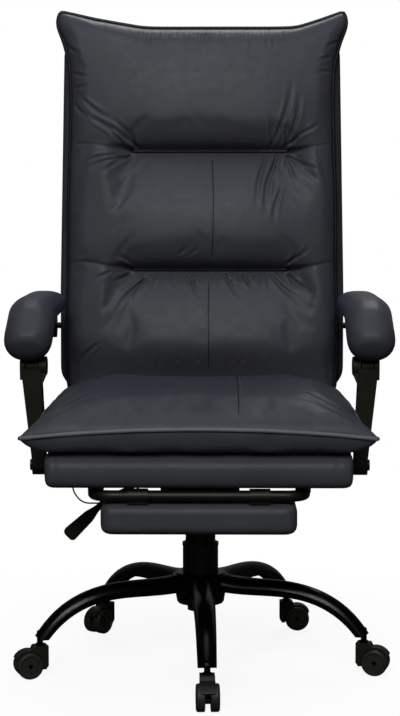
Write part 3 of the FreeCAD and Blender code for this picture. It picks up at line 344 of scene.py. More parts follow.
def plywood():
    """Birch plywood, coloured near black: faint long rings along X and faint bands through its thickness."""
    material, tree, shader, place = new_material("near_black_birch_plywood", "14110e", 0.6,
                                                 Specular_IOR_Level=0.2)
    along = node(tree, "ShaderNodeMapping", {"Vector": place, "Scale": (0.12, 1.0, 1.0)})
    rings = node(tree, "ShaderNodeTexWave", {"Vector": along.outputs["Vector"], "Scale": 1000 / 60.0,
                                             "Distortion": 6.0, "Detail": 3.0})
    bands = node(tree, "ShaderNodeTexWave", {"Vector": place, "Scale": 1000 / 24.0}, bands_direction="Z")
    both = node(tree, "ShaderNodeMath", {0: rings.outputs["Fac"], 1: bands.outputs["Fac"]},
                operation="MULTIPLY")
    ramp = node(tree, "ShaderNodeValToRGB", {"Fac": both.outputs["Value"]}, feeds=shader.inputs["Base Color"])
    ramp.color_ramp.elements[0].color = srgb("0d0b09")
    ramp.color_ramp.elements[1].color = srgb("1c1813")
    node(tree, "ShaderNodeBump", {"Height": rings.outputs["Fac"], "Strength": 0.1, "Distance": 0.0003},
         feeds=shader.inputs["Normal"])
    return material


def thread():
    """Bonded polyester thread: slightly glossy, with a faint twist."""
    material, tree, shader, place = new_material("bonded_polyester_thread", "101114", 0.5, Sheen_Weight=0.2)
    twist = node(tree, "ShaderNodeTexWave", {"Vector": place, "Scale": 1000 / 12.0})
    node(tree, "ShaderNodeBump", {"Height": twist.outputs["Fac"], "Strength": 0.2, "Distance": 0.0002},
         feeds=shader.inputs["Normal"])
    return material


leather = pu_leather("polyurethane_leather", "333438", "37383c", 0.47, 0.04)
shell_leather = pu_leather("polyurethane_leather_on_shell", "2a2b2d", "2f3032", 0.46, 0.03)
# A much darker copy of the leather: painted shade on the back cushion's piping and on the channel welts,
# which sit in shade. The seams' joins and the rear panel's piping use it too.
piping_painted_shade_leather = pu_leather("polyurethane_leather_piping_painted_shade", "0e0e10", "131316", 0.36, 0.02)
# The seat's piping gets a lighter copy of the leather: a painted highlight, where the key light runs along
# its top.
seat_piping_highlight_leather = pu_leather("polyurethane_leather_seat_piping_painted_highlight", "505156", "56575c", 0.42, 0.04)
# Also given to the lift's covers, lighter than their own nylon, as painted light.
wheel_nylon = nylon("wheel_nylon", "20201d", "252521", 0.4, 0.9)
stitch_thread = thread()

slot_materials = {
    "gloss_black_steel": enamel(),
    "satin_black_steel": powder_coat(),
    "black_nylon": nylon("glass_filled_nylon", "14140e", "181811", 0.5, 0.7),
    "wheel_nylon": wheel_nylon,
    "bright_steel": turned_steel("zinc_plated_steel", "a9aaa8"),
    "blackened_steel": turned_steel("black_oxide_steel", "1c1c1c"),
    "plywood": plywood(),
    "cable_sheath": nylon("extruded_vinyl_sheath", "0e0e0e", "131312", 0.4, 1.2),
    "leather": leather,
}


def finish_cad_nodes():
    """Gives every carried-over node its slot's finish. The lift's covers get the wheels' lighter nylon
    instead: painted light, for light the footrest keeps off them.
    """
    for part in frame["record"]["subparts"]:
        cover_gets_painted_light = part["node"].startswith("cover_")
        finishes = frame["nodes"][part["node"]].data.materials
        finishes.clear()
        # Painted light: the covers take a lighter nylon than their slot's.
        finishes.append(wheel_nylon if cover_gets_painted_light else slot_materials[part["material_slot"]])


# Forms shared by the soft pieces

def two_sheets(name, front, rear, material):
    """A closed cover from two grids of points with a shared rim. Returns it and its front points' numbers."""
    rows, columns = front.shape[:2]
    number = np.arange(rows * columns).reshape(rows, columns)
    inner = np.zeros((rows, columns), bool)
    inner[1:-1, 1:-1] = True
    behind = number.copy()
    behind[inner] = rows * columns + np.arange(inner.sum())
    points = np.concatenate([front.reshape(-1, 3), rear[inner]])
    faces = []
    for r in range(rows - 1):
        for c in range(columns - 1):
            faces.append((number[r, c], number[r, c + 1], number[r + 1, c + 1], number[r + 1, c]))
            faces.append((behind[r, c], behind[r + 1, c], behind[r + 1, c + 1], behind[r, c + 1]))
    return to_piece(name, points, faces, material), number


def rim_of(number):
    """The numbers round the edge of a grid, in order."""
    return np.concatenate([number[0], number[1:, -1], number[-1, -2::-1], number[-2:0:-1, 0]])


def rounded_block(name, half, radius, cell, material):
    """A box of half sizes, its edges rounded by a radius along each axis, in cells of about one size."""
    half = np.array(half, float)
    radius = np.array(radius, float)
    counts = [max(4, int(round(2 * h / cell))) for h in half]
    store = {}
    points = []
    faces = []

    def corner(key):
        if key not in store:
            store[key] = len(points)
            points.append([k / n * 2 - 1 for k, n in zip(key, counts)])
        return store[key]

    for axis in range(3):
        a, b = [i for i in range(3) if i != axis]
        for end in (0, counts[axis]):
            for i in range(counts[a]):
                for j in range(counts[b]):
                    quad = []
                    for di, dj in ((0, 0), (1, 0), (1, 1), (0, 1)):
                        key = [0, 0, 0]
                        key[axis] = end
                        key[a] = i + di
                        key[b] = j + dj
                        quad.append(corner(tuple(key)))
                    outward = (end > 0) == (axis != 1)
                    faces.append(quad if outward else quad[::-1])
    q = np.array(points) * half
    core = np.clip(q, -(half - radius), half - radius)
    away = (q - core) / radius
    length = np.linalg.norm(away, axis=1, keepdims=True)
    shape = core + away / np.maximum(length, 1e-9) * radius
    return to_piece(name, shape, faces, material)


def swept_tube(name, path, radius, material, closed=False, sides=12, flat=1.0, out=(0.0, -1.0, 0.0)):
    """A round or flattened tube along a path, with rounded ends where it is open."""
    path = np.array(path, float)
    count = len(path)
    if closed:
        tangent = np.roll(path, -1, axis=0) - np.roll(path, 1, axis=0)
    else:
        tangent = np.gradient(path, axis=0)
    tangent /= np.linalg.norm(tangent, axis=1, keepdims=True)
    across = np.cross(tangent, np.broadcast_to(out, path.shape))
    across /= np.linalg.norm(across, axis=1, keepdims=True)
    up = np.cross(across, tangent)
    radii = np.full(count, radius, float)
    if not closed:
        from_end = np.minimum(np.arange(count), np.arange(count)[::-1])
        radii *= quarter((from_end + 0.35) / 3.0)
    turn = np.linspace(0, 2 * math.pi, sides, endpoint=False)
    ring = (np.cos(turn)[None, :, None] * across[:, None]
            + flat * np.sin(turn)[None, :, None] * up[:, None])
    rings = path[:, None] + radii[:, None, None] * ring
    number = np.arange(count * sides).reshape(count, sides)
    faces = []
    for r in range(count if closed else count - 1):
        n = (r + 1) % count
        for s in range(sides):
            t = (s + 1) % sides
            faces.append((number[r, s], number[n, s], number[n, t], number[r, t]))
    if not closed:
        faces.append(tuple(number[0]))
        faces.append(tuple(number[-1][::-1]))
    return to_piece(name, rings.reshape(-1, 3), faces, material)


def evenly(path, step):
    """The same closed line with points a steady step apart."""
    path = np.concatenate([path, path[:1]])
    length = np.concatenate([[0], np.cumsum(np.linalg.norm(np.diff(path, axis=0), axis=1))])
    where = np.linspace(0, length[-1], int(round(length[-1] / step)) + 1)
    return np.stack([np.interp(where, length, path[:, i]) for i in range(3)], axis=1)[:-1]


def eased(path):
    """Rounds a closed line's corners a little."""
    return (np.roll(path, 1, axis=0) + 2 * path + np.roll(path, -1, axis=0)) / 4


def piping_line(rim, centre, level):
    """A line with even steps round a rim, and the level direction away from the centre at each point."""
    line = evenly(eased(eased(rim)), piping_step)
    outward = line - centre
    outward[:, level] = 0
    return line, outward / np.linalg.norm(outward, axis=1, keepdims=True)


def inflated(piece, pinned, pressure, cap, slack):
    """Blows a cover up against its pinned seams as cloth, and moves no point further than the cap."""
    rest = points_of(piece)
    seams = piece.vertex_groups.new(name="seams")
    seams.add([int(i) for i in pinned], 1.0, "REPLACE")
    cloth = piece.modifiers.new("cover", "CLOTH")
    cover = cloth.settings
    cover.quality = 5
    cover.mass = 0.25
    cover.tension_stiffness = 12.0
    cover.compression_stiffness = 12.0
    cover.shear_stiffness = 8.0
    cover.bending_stiffness = 0.6
    cover.shrink_min = -slack
    cover.use_pressure = True
    cover.uniform_pressure_force = pressure
    cover.vertex_group_mass = "seams"
    cover.effector_weights.gravity = 0.0
    cloth.collision_settings.use_collision = False
    cloth.point_cache.frame_start = 1
    cloth.point_cache.frame_end = cloth_frames
    scene = bpy.context.scene
    for step in range(1, cloth_frames + 1):
        scene.frame_set(step)
    blown = points_of(piece.evaluated_get(bpy.context.evaluated_depsgraph_get()))
    piece.modifiers.clear()
    scene.frame_set(1)
    shift = blown - rest
    length = np.linalg.norm(shift, axis=1, keepdims=True)
    shift *= np.minimum(1.0, cap / np.maximum(length, 1e-6))
    set_points(piece, rest + shift)
    print("%s inflated: mean %.1f mm, most %.1f mm" % (piece.name, length.mean(), length.max()))


def crease_shift(across, up, creases):
    """How far each point sinks under a set of creases: a groove with a soft ridge on each side."""
    bow = 0.06  # of the crease's length
    ridge_place = 1.9  # in spreads from its middle
    ridge_share = 0.42  # of its depth
    sunk = np.zeros(len(across))
    for x0, z0, x1, z1, width, depth in creases:
        dx, dz = x1 - x0, z1 - z0
        length = math.hypot(dx, dz)
        along = ((across - x0) * dx + (up - z0) * dz) / length ** 2
        side = ((across - x0) * dz - (up - z0) * dx) / length
        bend = side - bow * length * np.sin(np.pi * np.clip(along, 0, 1))
        taper = smooth(along / 0.12 + 1.0) * smooth((1.0 - along) / 0.85) * (along > -0.12) * (along < 1.0)
        spread = width * (0.62 + 0.55 * np.clip(along, 0, 1))
        groove = np.exp(-(bend / spread) ** 2)
        ridge = (np.exp(-((bend - ridge_place * spread) / spread) ** 2)
                 + np.exp(-((bend + ridge_place * spread) / spread) ** 2))
        sunk += crease_gain * depth * taper * (groove - ridge_share * ridge)
    return sunk


def fan(x, z, angles, lengths, width, depth):
    """Creases that spread from one point, each with its own angle and length."""
    start = 4.0
    made = []
    for angle, length in zip(angles, lengths):
        dx = math.cos(math.radians(angle))
        dz = math.sin(math.radians(angle))
        made.append((x + dx * start, z + dz * start, x + dx * length, z + dz * length, width, depth))
    return made


def gathers(left, right, z, spacing, length, lean, width, depth, rng):
    """Short uneven folds side by side along a seam, running away from it."""
    made = []
    x = left
    while x < right:
        reach = length * rng.uniform(0.45, 1.15)
        slant = lean * rng.uniform(-1, 1) + (x - (left + right) / 2) / (right - left) * lean
        fold = (x, z, x + slant, z + reach, width * rng.uniform(0.8, 1.2), depth * rng.uniform(0.35, 1.0))
        made.append(fold)
        x += spacing * rng.uniform(0.6, 1.5)
    return made


# Seams and stitches

def laid_on(piece, points, direction, lift):
    """Drops points on to a piece along a direction, then lifts them off its skin by a distance."""
    vertices = [Vector(point) for point in points_of(piece)]
    skin = BVHTree.FromPolygons(vertices, [tuple(face.vertices) for face in piece.data.polygons])
    direction = Vector(direction).normalized()
    found = []
    for point in points:
        hit, normal, _, _ = skin.ray_cast(Vector(point) - direction * 2000.0, direction)
        if hit is not None:
            found.append(hit + normal * lift)
    return np.array([tuple(point) for point in found])


def stitch_tree():
    """Nodes that sew lens-shaped stitches along every line of a mesh, end to end with a small gap."""
    tree = bpy.data.node_groups.new("sewn_stitches", "GeometryNodeTree")
    tree.interface.new_socket("Lines", in_out="INPUT", socket_type="NodeSocketGeometry")
    for name, length in stitch_sizes.items():
        socket = tree.interface.new_socket(name, in_out="INPUT", socket_type="NodeSocketFloat")
        socket.default_value = length * MM
    tree.interface.new_socket("Stitches", in_out="OUTPUT", socket_type="NodeSocketGeometry")
    given = node(tree, "NodeGroupInput")
    curves = node(tree, "GeometryNodeMeshToCurve", {"Mesh": given.outputs["Lines"]})
    places = node(tree, "GeometryNodeCurveToPoints", {"Curve": curves.outputs["Curve"],
                                                      "Length": given.outputs["Pitch"]}, mode="LENGTH")
    ball = node(tree, "GeometryNodeMeshUVSphere", {"Segments": 6, "Rings": 4, "Radius": 0.5})
    size = node(tree, "ShaderNodeCombineXYZ", {"X": given.outputs["Thread thickness"],
                                               "Y": given.outputs["Thread thickness"],
                                               "Z": given.outputs["Stitch length"]})
    stitch = node(tree, "GeometryNodeTransform", {"Geometry": ball.outputs["Mesh"],
                                                  "Scale": size.outputs["Vector"]})
    sewn = node(tree, "GeometryNodeInstanceOnPoints", {"Points": places.outputs["Points"],
                                                       "Instance": stitch.outputs["Geometry"],
                                                       "Rotation": places.outputs["Rotation"]})
    real = node(tree, "GeometryNodeRealizeInstances", {"Geometry": sewn.outputs["Instances"]})
    coloured = node(tree, "GeometryNodeSetMaterial", {"Geometry": real.outputs["Geometry"],
                                                      "Material": stitch_thread})
    node(tree, "NodeGroupOutput", {"Stitches": coloured.outputs["Geometry"]})
    return tree


def sew(name, body, lines):
    """Sews rows of stitches along lines in millimetres, as one piece that rides on a body."""
    points = []
    edges = []
    for line in lines:
        first = len(points)
        points += [tuple(point) for point in np.array(line) * MM]
        edges += [(first + i, first + i + 1) for i in range(len(line) - 1)]
    mesh = bpy.data.meshes.new(name)
    mesh.from_pydata(points, edges, [])
    piece = in_scene(name, mesh)
    sewn = piece.modifiers.new("stitches", "NODES")
    sewn.node_group = stitches
    plain_mesh(piece)
    finished(piece, body)


# Back cushion

def back_half(z):
    """Half width of the back cushion: nearly straight sides, then ears that flare out at the top."""
    return curve_through(z, (472, 500, 600, 733, 850, 963, 1060, 1120, 1165, 1205, 1216, 1229),
                         (252, 262, 265, 261, 261, 257, 255.5, 257.5, 268, 284, 285, 276))


def seam_line(x, number):
    """Height of a sewn seam: level along its welt, then rising to the side."""
    rise = smooth((np.abs(x - strip_middle) - strip_half) / (seam_half - strip_half - 10.0))
    return strip_z[number] + (side_seam_z[number] - strip_z[number]) * rise


def back_rows(share):
    """The four lines across the back cushion at a share of its width: lower edge, two seams and top edge."""
    x = share * seam_half
    top = back_top + curve_through(x, (-262, -190, -107, -70, 130, 171, 218, 262),
                                   (34, 17, 1, 0, 0, 1, 17, 34))
    return [np.full_like(share, back_bottom), seam_line(x, 0), seam_line(x, 1), top]


def channel_share(x):
    """1 where a channel is pulled down to its floor, falling away past the ends of its welt."""
    fade = 62.0
    before = smooth((x - (strip_left - fade)) / (fade + 4))
    after = smooth(((strip_right + fade) - x) / (fade + 4))
    return 0.10 + 0.90 * before * after


def zone_profile(t):
    """Fullness up one zone: a steep belly over the channel below, then a long slope to the one above."""
    if t < belly_share:
        return (1 - (1 - t / belly_share) ** 2.1) ** 0.5
    return 1 - ((t - belly_share) / (1 - belly_share)) ** 2.0


def back_line(zone, t, share, rows):
    """One line across the cushion at a share of a zone's height. Returns its x, its depth and its z."""
    z = rows[zone] + (rows[zone + 1] - rows[zone]) * t
    half = float(back_half(rows[zone][0] + (rows[zone + 1][0] - rows[zone][0]) * t))
    x = share * half
    inset = half * (1 - np.abs(share))
    full = 0.5 * quarter(inset / 30.0) + 0.5 * swell(inset / 210.0)
    profile = zone_profile(t)
    if zone == 0:
        full = full * (0.30 + 0.70 * smooth((t * lumbar_height - 30) / 95.0))
    if zone == 2:
        from_top = (1 - t) * head_height
        full = full * (0.5 * quarter(from_top / 26.0) + 0.5 * swell(from_top / 170.0))
        profile = 1.0 if t > belly_share else profile
    crown = edge_depth + (zone_crowns[zone] - edge_depth) * full
    depth = channel_floor + (crown - channel_floor) * (1 - channel_share(x) * (1 - profile))
    return x, np.where(inset < 3, edge_depth, depth), z


def build_back_cushion():
    """The back cushion in three zones with a sewn channel between each two. Returns its upright rim."""
    zone_cells = (48, 44, 45)
    share = np.linspace(-1, 1, 105)
    share = np.sign(share) * (1 - (1 - np.abs(share)) ** 1.08)
    rows = back_rows(share)
    rear_y = lean_y - soft_clear
    front = []
    rear = []
    seam_rows = []
    for zone, cells in enumerate(zone_cells):
        steps = np.linspace(0, 1, cells + 1)
        for t in steps if zone == 0 else steps[1:]:
            x, depth, z = back_line(zone, t, share, rows)
            front.append(np.stack([x, rear_y - depth, z], axis=1))
            rear.append(np.stack([x, np.full_like(x, rear_y), z], axis=1))
        seam_rows.append(len(front) - 1)
    front = np.array(front)
    rear = np.array(rear)
    front[0, :, 1] = rear_y
    front[-1, :, 1] = rear_y - rim_depth
    front[:, 0, 1] = rear_y - rim_depth
    front[:, -1, 1] = rear_y - rim_depth
    piece, number = two_sheets("back_cushion_cover", front, rear, leather)
    pinned = set(range(number.size, len(piece.data.vertices))) | set(rim_of(number))
    x = share * seam_half
    welted = (x > strip_left - 6) & (x < strip_right + 6)
    for row in seam_rows[:2]:
        pinned |= set(number[row][welted])
    inflated(piece, sorted(pinned), pressure=2.6, cap=3.2, slack=0.006)
    subdivided(piece)
    wrinkle_back(piece)
    rim = points_of(piece)[rim_of(number)]
    sew_back(piece)
    set_points(piece, leaned(points_of(piece)))
    finished(piece, "backrest", ["back_cushion"])
    return rim


def back_creases():
    """The folds of the back cushion, read from the photograph: x, z, x, z, width and depth in millimetres."""
    rng = np.random.default_rng(SEED)
    low, high = strip_z
    left = strip_left
    right = strip_right
    fans = [
        # above the upper channel, into the head zone
        (left + 10, high + 8, (118, 134, 150), (48, 74, 108), 4.2, 3.4),
        (left - 16, high + 12, (142,), (96,), 4.0, 2.4),
        (right - 6, high + 8, (44, 76, 92), (64, 112, 66), 4.2, 3.4),
        (right - 34, high + 8, (96, 74), (70, 150), 4.6, 2.6),
        (right + 22, high + 30, (34,), (52,), 3.8, 2.0),
        # below the upper channel
        (left - 4, high - 10, (200, 214), (96, 62), 4.2, 3.0),
        (left - 30, high - 8, (197,), (82,), 3.8, 2.2),
        (right - 4, high - 8, (-24, -38, -70, -88), (78, 44, 62, 36), 3.6, 3.6),
        (right - 24, high - 10, (-94, -100), (62, 128), 4.4, 3.4),
        (right - 44, high - 10, (-99,), (112,), 4.4, 2.8),
        (right - 16, high - 74, (-100,), (78,), 4.0, 2.0),
        # above the lower channel
        (right - 2, low + 12, (38, 52), (58, 34), 4.0, 2.8),
        (-46, low + 26, (48,), (30,), 4.0, 1.6),
        (-24, low + 26, (46,), (32,), 4.0, 1.6),
        (left + 2, low + 10, (150,), (40,), 4.0, 1.8),
        # below the lower channel
        (left - 4, low - 8, (212, 218), (44, 36), 3.8, 3.0),
        (left - 38, low - 4, (212,), (40,), 3.8, 2.4),
        (left + 26, low - 18, (230, 236), (94, 66), 4.2, 3.2),
        (right - 34, low - 10, (-42,), (70,), 4.0, 3.4),
        (right - 2, low - 8, (-38, -52), (60, 36), 3.6, 3.0),
        (42, low - 8, (-52, -44), (62, 40), 4.0, 2.8),
        (76, low - 8, (-46, -40), (44, 36), 4.0, 2.4),
        (-24, low - 12, (-62, -50), (52, 40), 4.0, 2.8),
    ]
    made = []
    for spread in fans:
        made += fan(*spread)
    # the pull at both ends of each welt
    for z, rise in ((high, 7), (low, 8)):
        made.append((left + 4, z + 1, left - 46, z + rise, 4.6, 5.0))
        made.append((right - 4, z + 1, right + 46, z + rise, 4.6, 5.0))
    # below the lower channel, along the top edge and along the lower edge
    made += gathers(left + 34, right - 40, low - 8, 15.0, -34.0, 8.0, 3.2, 2.2, rng)
    made += gathers(-140.0, 170.0, back_top - 8, 11.0, -42.0, 2.0, 2.6, 2.6, rng)
    made += gathers(-120.0, 150.0, 548.0, 30.0, 30.0, 2.0, 4.0, 1.5, rng)
    # the ears and the sides
    made += [
        (-250, 1108, -214, 1100, 3.6, 2.6), (-248, 1080, -214, 1084, 3.6, 2.2),
        (-262, 1162, -232, 1142, 4.0, 2.4), (250, 1110, 218, 1104, 3.6, 2.6),
        (252, 1138, 220, 1126, 3.6, 2.2), (264, 1168, 236, 1150, 4.0, 2.2),
        (-250, 1052, -214, 1016, 4.0, 3.0), (-226, 1052, -168, 1014, 4.6, 2.2),
        (-204, 580, -238, 540, 4.4, 2.6),
    ]
    return made


def centre_seam(z):
    """Where the seam down the middle lies, a little to the sitter's left of the centre."""
    return np.where(z > strip_z[0], 19.0 + 4.0 * np.sin((z - strip_z[0]) / 75.0), 14.0)


def wrinkle_back(piece):
    """Presses the folds, the middle seam and the side seams into the cushion's front."""
    points = points_of(piece)
    x, y, z = points.T
    facing = y < lean_y - soft_clear - 12
    sunk = crease_shift(x, z, back_creases())
    for number in (0, 1):
        past_welt = smooth((np.abs(x - strip_middle) - (strip_half - 4.5)) / 8)
        sunk += 2.6 * np.exp(-((z - seam_line(x, number)) / 2.4) ** 2) * past_welt
    seam = np.exp(-((x - centre_seam(z)) / 2.6) ** 2) * 0.9 * (z < strip_z[1] - 12) * (z > 500)
    seam *= 1 - np.exp(-((z - strip_z[0]) / 12.0) ** 2)
    inset = back_half(z) - np.abs(x)
    ease = smooth((inset - 2) / 14) * smooth((back_top + 20 - z) / 26)
    points[:, 1] += np.where(facing, (sunk + seam) * ease, 0.0)
    set_points(piece, points)


def sew_back(piece):
    """The joins of the cover's panels, and a row of stitches beside each one. The piece is still upright."""
    toward_rear = (0, 1, 0)
    rows = []
    for number, strip in enumerate(strip_z):
        x = np.linspace(strip_left + 4, strip_right - 4, 80)
        for lift in (-9.0, 9.0):
            rows.append(laid_on(piece, [(a, 0, strip + lift) for a in x], toward_rear, stitch_lift))
        for start, end in ((strip_left - 12, -246), (strip_right + 12, 246)):
            x = np.linspace(start, end, 30)
            row = [(a, 0, z + 5.5) for a, z in zip(x, seam_line(x, number))]
            rows.append(laid_on(piece, row, toward_rear, stitch_lift))
    for number, (low, high) in enumerate(((536.0, strip_z[0] - 22), (strip_z[0] + 24, strip_z[1] - 16))):
        z = np.linspace(low, high, 60)
        x = centre_seam(z)
        line = laid_on(piece, [(a, 0, b) for a, b in zip(x, z)], toward_rear, -join_sink)
        join = swept_tube("back_centre_join_%d" % number, leaned(line), join_radius, piping_painted_shade_leather, sides=8)
        finished(join, "backrest")
        beside = [(a + stitch_beside, 0, b) for a, b in zip(x, z)]
        rows.append(laid_on(piece, beside, toward_rear, stitch_lift))
    sew("back_stitches", "backrest", [leaned(row) for row in rows])


def build_back_trim(rim):
    """The piping round the cushion, and in each channel a flat welt between two thin cords. Piping and welts
    are drawn in the dark copy of the leather, a painted shade.
    """
    line, outward = piping_line(rim, (0, 0, 850), 1)
    line += outward * 2.4
    piping = swept_tube("back_cushion_piping", leaned(line), piping_radius, piping_painted_shade_leather, closed=True)
    finished(piping, "backrest")
    floor_y = lean_y - soft_clear - channel_floor
    x = np.linspace(strip_left - 2, strip_right + 2, 64)
    for name, z in zip(("lower", "upper"), strip_z):
        path = np.stack([x, np.full_like(x, floor_y - 2.5), np.full_like(x, z)], axis=1)
        # The welt is drawn in the dark copy of the leather: painted shade, for the shade under the belly
        # above it.
        welt = swept_tube("back_welt_" + name, leaned(path), strip_height / 2, piping_painted_shade_leather, flat=0.5)
        finished(welt, "backrest")
        for edge, lift in (("low", -strip_height / 2), ("high", strip_height / 2)):
            line = leaned(path + np.array([0, -0.8, lift]))
            cord = swept_tube("back_welt_%s_%s" % (name, edge), line, 1.0, shell_leather)
            finished(cord, "backrest")


# Back shell

def shell_half(z):
    """Half width of the back's shell, drawn in at its foot."""
    return curve_through(z, (428, 484, 500, 516, 690, 1134, 1186), (247, 247, 262, 279, 279.5, 272, 271))


def build_back_shell():
    """The padded shell behind the cushion, gently crowned to the rear."""
    half = (shell_side, shell_depth / 2, (shell_high - shell_low) / 2)
    piece = rounded_block("back_shell_cover", half, (34.0, 13.0, 34.0), 9.0, shell_leather)
    points = points_of(piece)
    points[:, 1] += lean_y + shell_depth / 2
    points[:, 2] += (shell_low + shell_high) / 2
    points[:, 0] *= shell_half(points[:, 2]) / shell_side
    x, y, z = points.T
    crown = np.sqrt(np.clip(1 - (x / 285) ** 2, 0, 1)) * smooth((z - shell_low) / 80)
    crown *= smooth((shell_high - z) / 60)
    points[:, 1] += np.where(y > lean_y + shell_depth / 2, 5.0 * crown - 5.0, 0)
    set_points(piece, points)
    subdivided(piece)
    piped_panel(piece)
    set_points(piece, leaned(points_of(piece)))
    finished(piece, "backrest", ["back_shell"])


def piped_panel(piece):
    """The rear panel's piping, set in from the edge, with stitches inside it. The piece is still upright."""
    turn = np.linspace(0, 2 * math.pi, 240, endpoint=False)
    squareness = 0.16
    across = np.sign(np.cos(turn)) * np.abs(np.cos(turn)) ** squareness
    up = np.sign(np.sin(turn)) * np.abs(np.sin(turn)) ** squareness
    lines = []
    for inset in (30.0, 38.0):
        z = (shell_low + shell_high) / 2 + up * ((shell_high - shell_low) / 2 - inset)
        x = across * (shell_half(z) - inset)
        laid = laid_on(piece, [(a, 0, b) for a, b in zip(x, z)], (0, -1, 0), 0.4)
        lines.append(evenly(laid, 6.0))
    piping = swept_tube("back_shell_piping", leaned(lines[0]), 2.2, piping_painted_shade_leather, closed=True,
                        out=(0, 1, 0))
    finished(piping, "backrest")
    sew("back_shell_stitches", "backrest", [leaned(lines[1])])


# Seat cushion

def seat_half(share):
    """Half width from the front ears to the rear."""
    return curve_through(share, (0.0, 0.04, 0.14, 0.3, 0.5, 0.75, 0.92, 1.0),
                         (310, 301, 287, 279, 277, 277, 272, 262))


def build_seat_cushion():
    """The loose seat cushion: pillowed, drawn in to a piped seam, with an ear at each front corner."""
    length = seat_rear - seat_front
    v = np.linspace(0, 1, 63)
    across, along = np.meshgrid(np.linspace(-1, 1, 83), v + 0.06 * np.sin(math.pi * 2 * v) / math.pi)
    half = seat_half(along)
    x = across * half
    y = seat_front + length * along - 3.0 * (1 - across ** 2) * (1 - along) ** 6
    front_line = seat_front_seam - (seat_front_seam - seat_ear_seam) * np.abs(across) ** 1.9
    rim = front_line + (seat_side_seam - front_line) * smooth(along / 0.42)
    from_side = half * (1 - np.abs(across))
    from_front = along * length
    from_rear = (1 - along) * length
    crown = seat_crown + 2.5 * np.exp(-((np.abs(x) - 165) / 40) ** 2) * smooth((along - 0.6) / 0.3)
    full = quarter(from_side / 112.0) * quarter(from_front / 210.0) ** 0.82 * quarter(from_rear / 70.0)
    flat = quarter(from_side / 52.0) * quarter(from_front / 26.0) * quarter(from_rear / 30.0)
    upper = np.stack([x, y, rim + (crown - rim) * full], axis=2)
    lower = np.stack([x, y, rim + (seat_rest - rim) * flat], axis=2)
    piece, number = two_sheets("seat_cushion_cover", upper, lower, leather)
    resting = np.nonzero(points_of(piece)[:, 2] < seat_rest + 1.5)[0]
    inflated(piece, sorted(set(rim_of(number)) | set(resting)), pressure=2.2, cap=8.0, slack=0.012)
    subdivided(piece)
    wrinkle_seat(piece)
    sew_seat(piece)
    finished(piece, "seat", ["seat_cushion"])
    # The seat's piping is drawn in the lighter copy of the leather, a painted highlight.
    line, outward = piping_line(points_of(piece)[rim_of(number)], (0, (seat_front + seat_rear) / 2, 0), 2)
    piping = swept_tube("seat_cushion_piping", line + outward, piping_radius, seat_piping_highlight_leather,
                        closed=True, out=outward)
    finished(piping, "seat")


def wrinkle_seat(piece):
    """Presses the folds and the join into the seat's top, and keeps its underside on the board."""
    points = points_of(piece)
    x, y, z = points.T
    sunk = crease_shift(x, y, seat_creases())
    seam = 1.8 * np.exp(-((x - seat_join_x) / 1.8) ** 2)
    seam *= smooth((y - seat_front - 30) / 20) * smooth((120 - y) / 10)
    points[:, 2] -= (sunk + seam) * smooth((z - 470) / 20)
    points[:, 2] = np.maximum(points[:, 2], seat_rest)
    set_points(piece, points)


def sew_seat(piece):
    """The join down the seat's top with its stitches, and a row of stitches behind the front piping."""
    down = (0, 0, -1)
    y = np.linspace(112, seat_front + 26, 90)
    line = laid_on(piece, [(seat_join_x, a, 0) for a in y], down, -join_sink)
    join = swept_tube("seat_join", line, join_radius, piping_painted_shade_leather, sides=8, out=(0, 0, 1))
    finished(join, "seat")
    beside = laid_on(piece, [(seat_join_x + stitch_beside, a, 0) for a in y], down, stitch_lift)
    front = [(a, seat_front + 11, 0) for a in np.linspace(-262, 262, 130)]
    sew("seat_stitches", "seat", [beside, laid_on(piece, front, down, stitch_lift)])


def seat_creases():
    """The folds of the seat's top: x, y, x, y, width and depth in millimetres."""
    return [
        (50, 40, 56, -60, 5.0, 2.6), (80, 60, 84, -90, 5.0, 2.2), (96, 20, 98, -120, 5.5, 1.6),
        (-38, -60, -66, -190, 5.5, 2.8), (-56, -70, -92, -195, 5.0, 2.4), (-24, -40, -40, -150, 5.0, 1.8),
        (-190, 120, -130, 108, 6.0, 3.0), (190, 118, 128, 108, 6.0, 3.0), (-120, 130, -108, 70, 5.0, 2.6),
        (-276, -250, -200, -190, 6.0, 2.6), (276, -250, 205, -190, 6.0, 2.6),
        (-262, -120, -205, -110, 5.0, 2.0), (264, -110, 206, -100, 5.0, 2.0),
        (40, 70, 44, -40, 4.6, 2.4), (104, 60, 108, -60, 4.6, 2.0),
    ]


# Pads under the seat and on the footrest

def build_base_pad():
    """The firm pad round the seat board, its front rolled back toward the top."""
    low, high = size_of("seat_base_pad")
    half = (high - low) / 2
    piece = rounded_block("seat_base_pad_cover", half + (2.6, 0, 0.4), (14.0, 16.0, 15.0), 8.0, leather)
    points = points_of(piece)
    x, y, z = points.T
    height = z / half[2]
    roll = smooth((-y - half[1] + 70) / 60)
    points[:, 1] -= 5.0 * np.cos(np.clip(height, -1, 1) * math.pi / 2) * roll
    points[:, 1] += (5.0 + 15.0 * smooth((height - 0.1) / 0.9) ** 2) * roll
    set_points(piece, points + (low + high) / 2)
    subdivided(piece)
    points = points_of(piece)
    x, y, z = points.T
    creases = [(238, 428, 243, 384, 4.0, 2.0), (-243, 424, -246, 386, 4.0, 1.8), (0, 430, 2, 404, 5.0, 0.8)]
    points[:, 1] += crease_shift(x, z, creases) * (y < low[1] + 40)
    set_points(piece, points)
    finished(piece, "seat", ["seat_base_pad"])


def build_footrest_pad():
    """The firm pad on the footrest."""
    low, high = size_of("footrest_cushion")
    half = (high - low) / 2
    piece = rounded_block("footrest_pad_cover", half + (1.0, 0, 0.4), (20.0, 26.0, 14.0), 7.0, leather)
    set_points(piece, points_of(piece) + (low + high) / 2)
    subdivided(piece)
    finished(piece, "footrest", ["footrest_cushion"])


# Arm pads

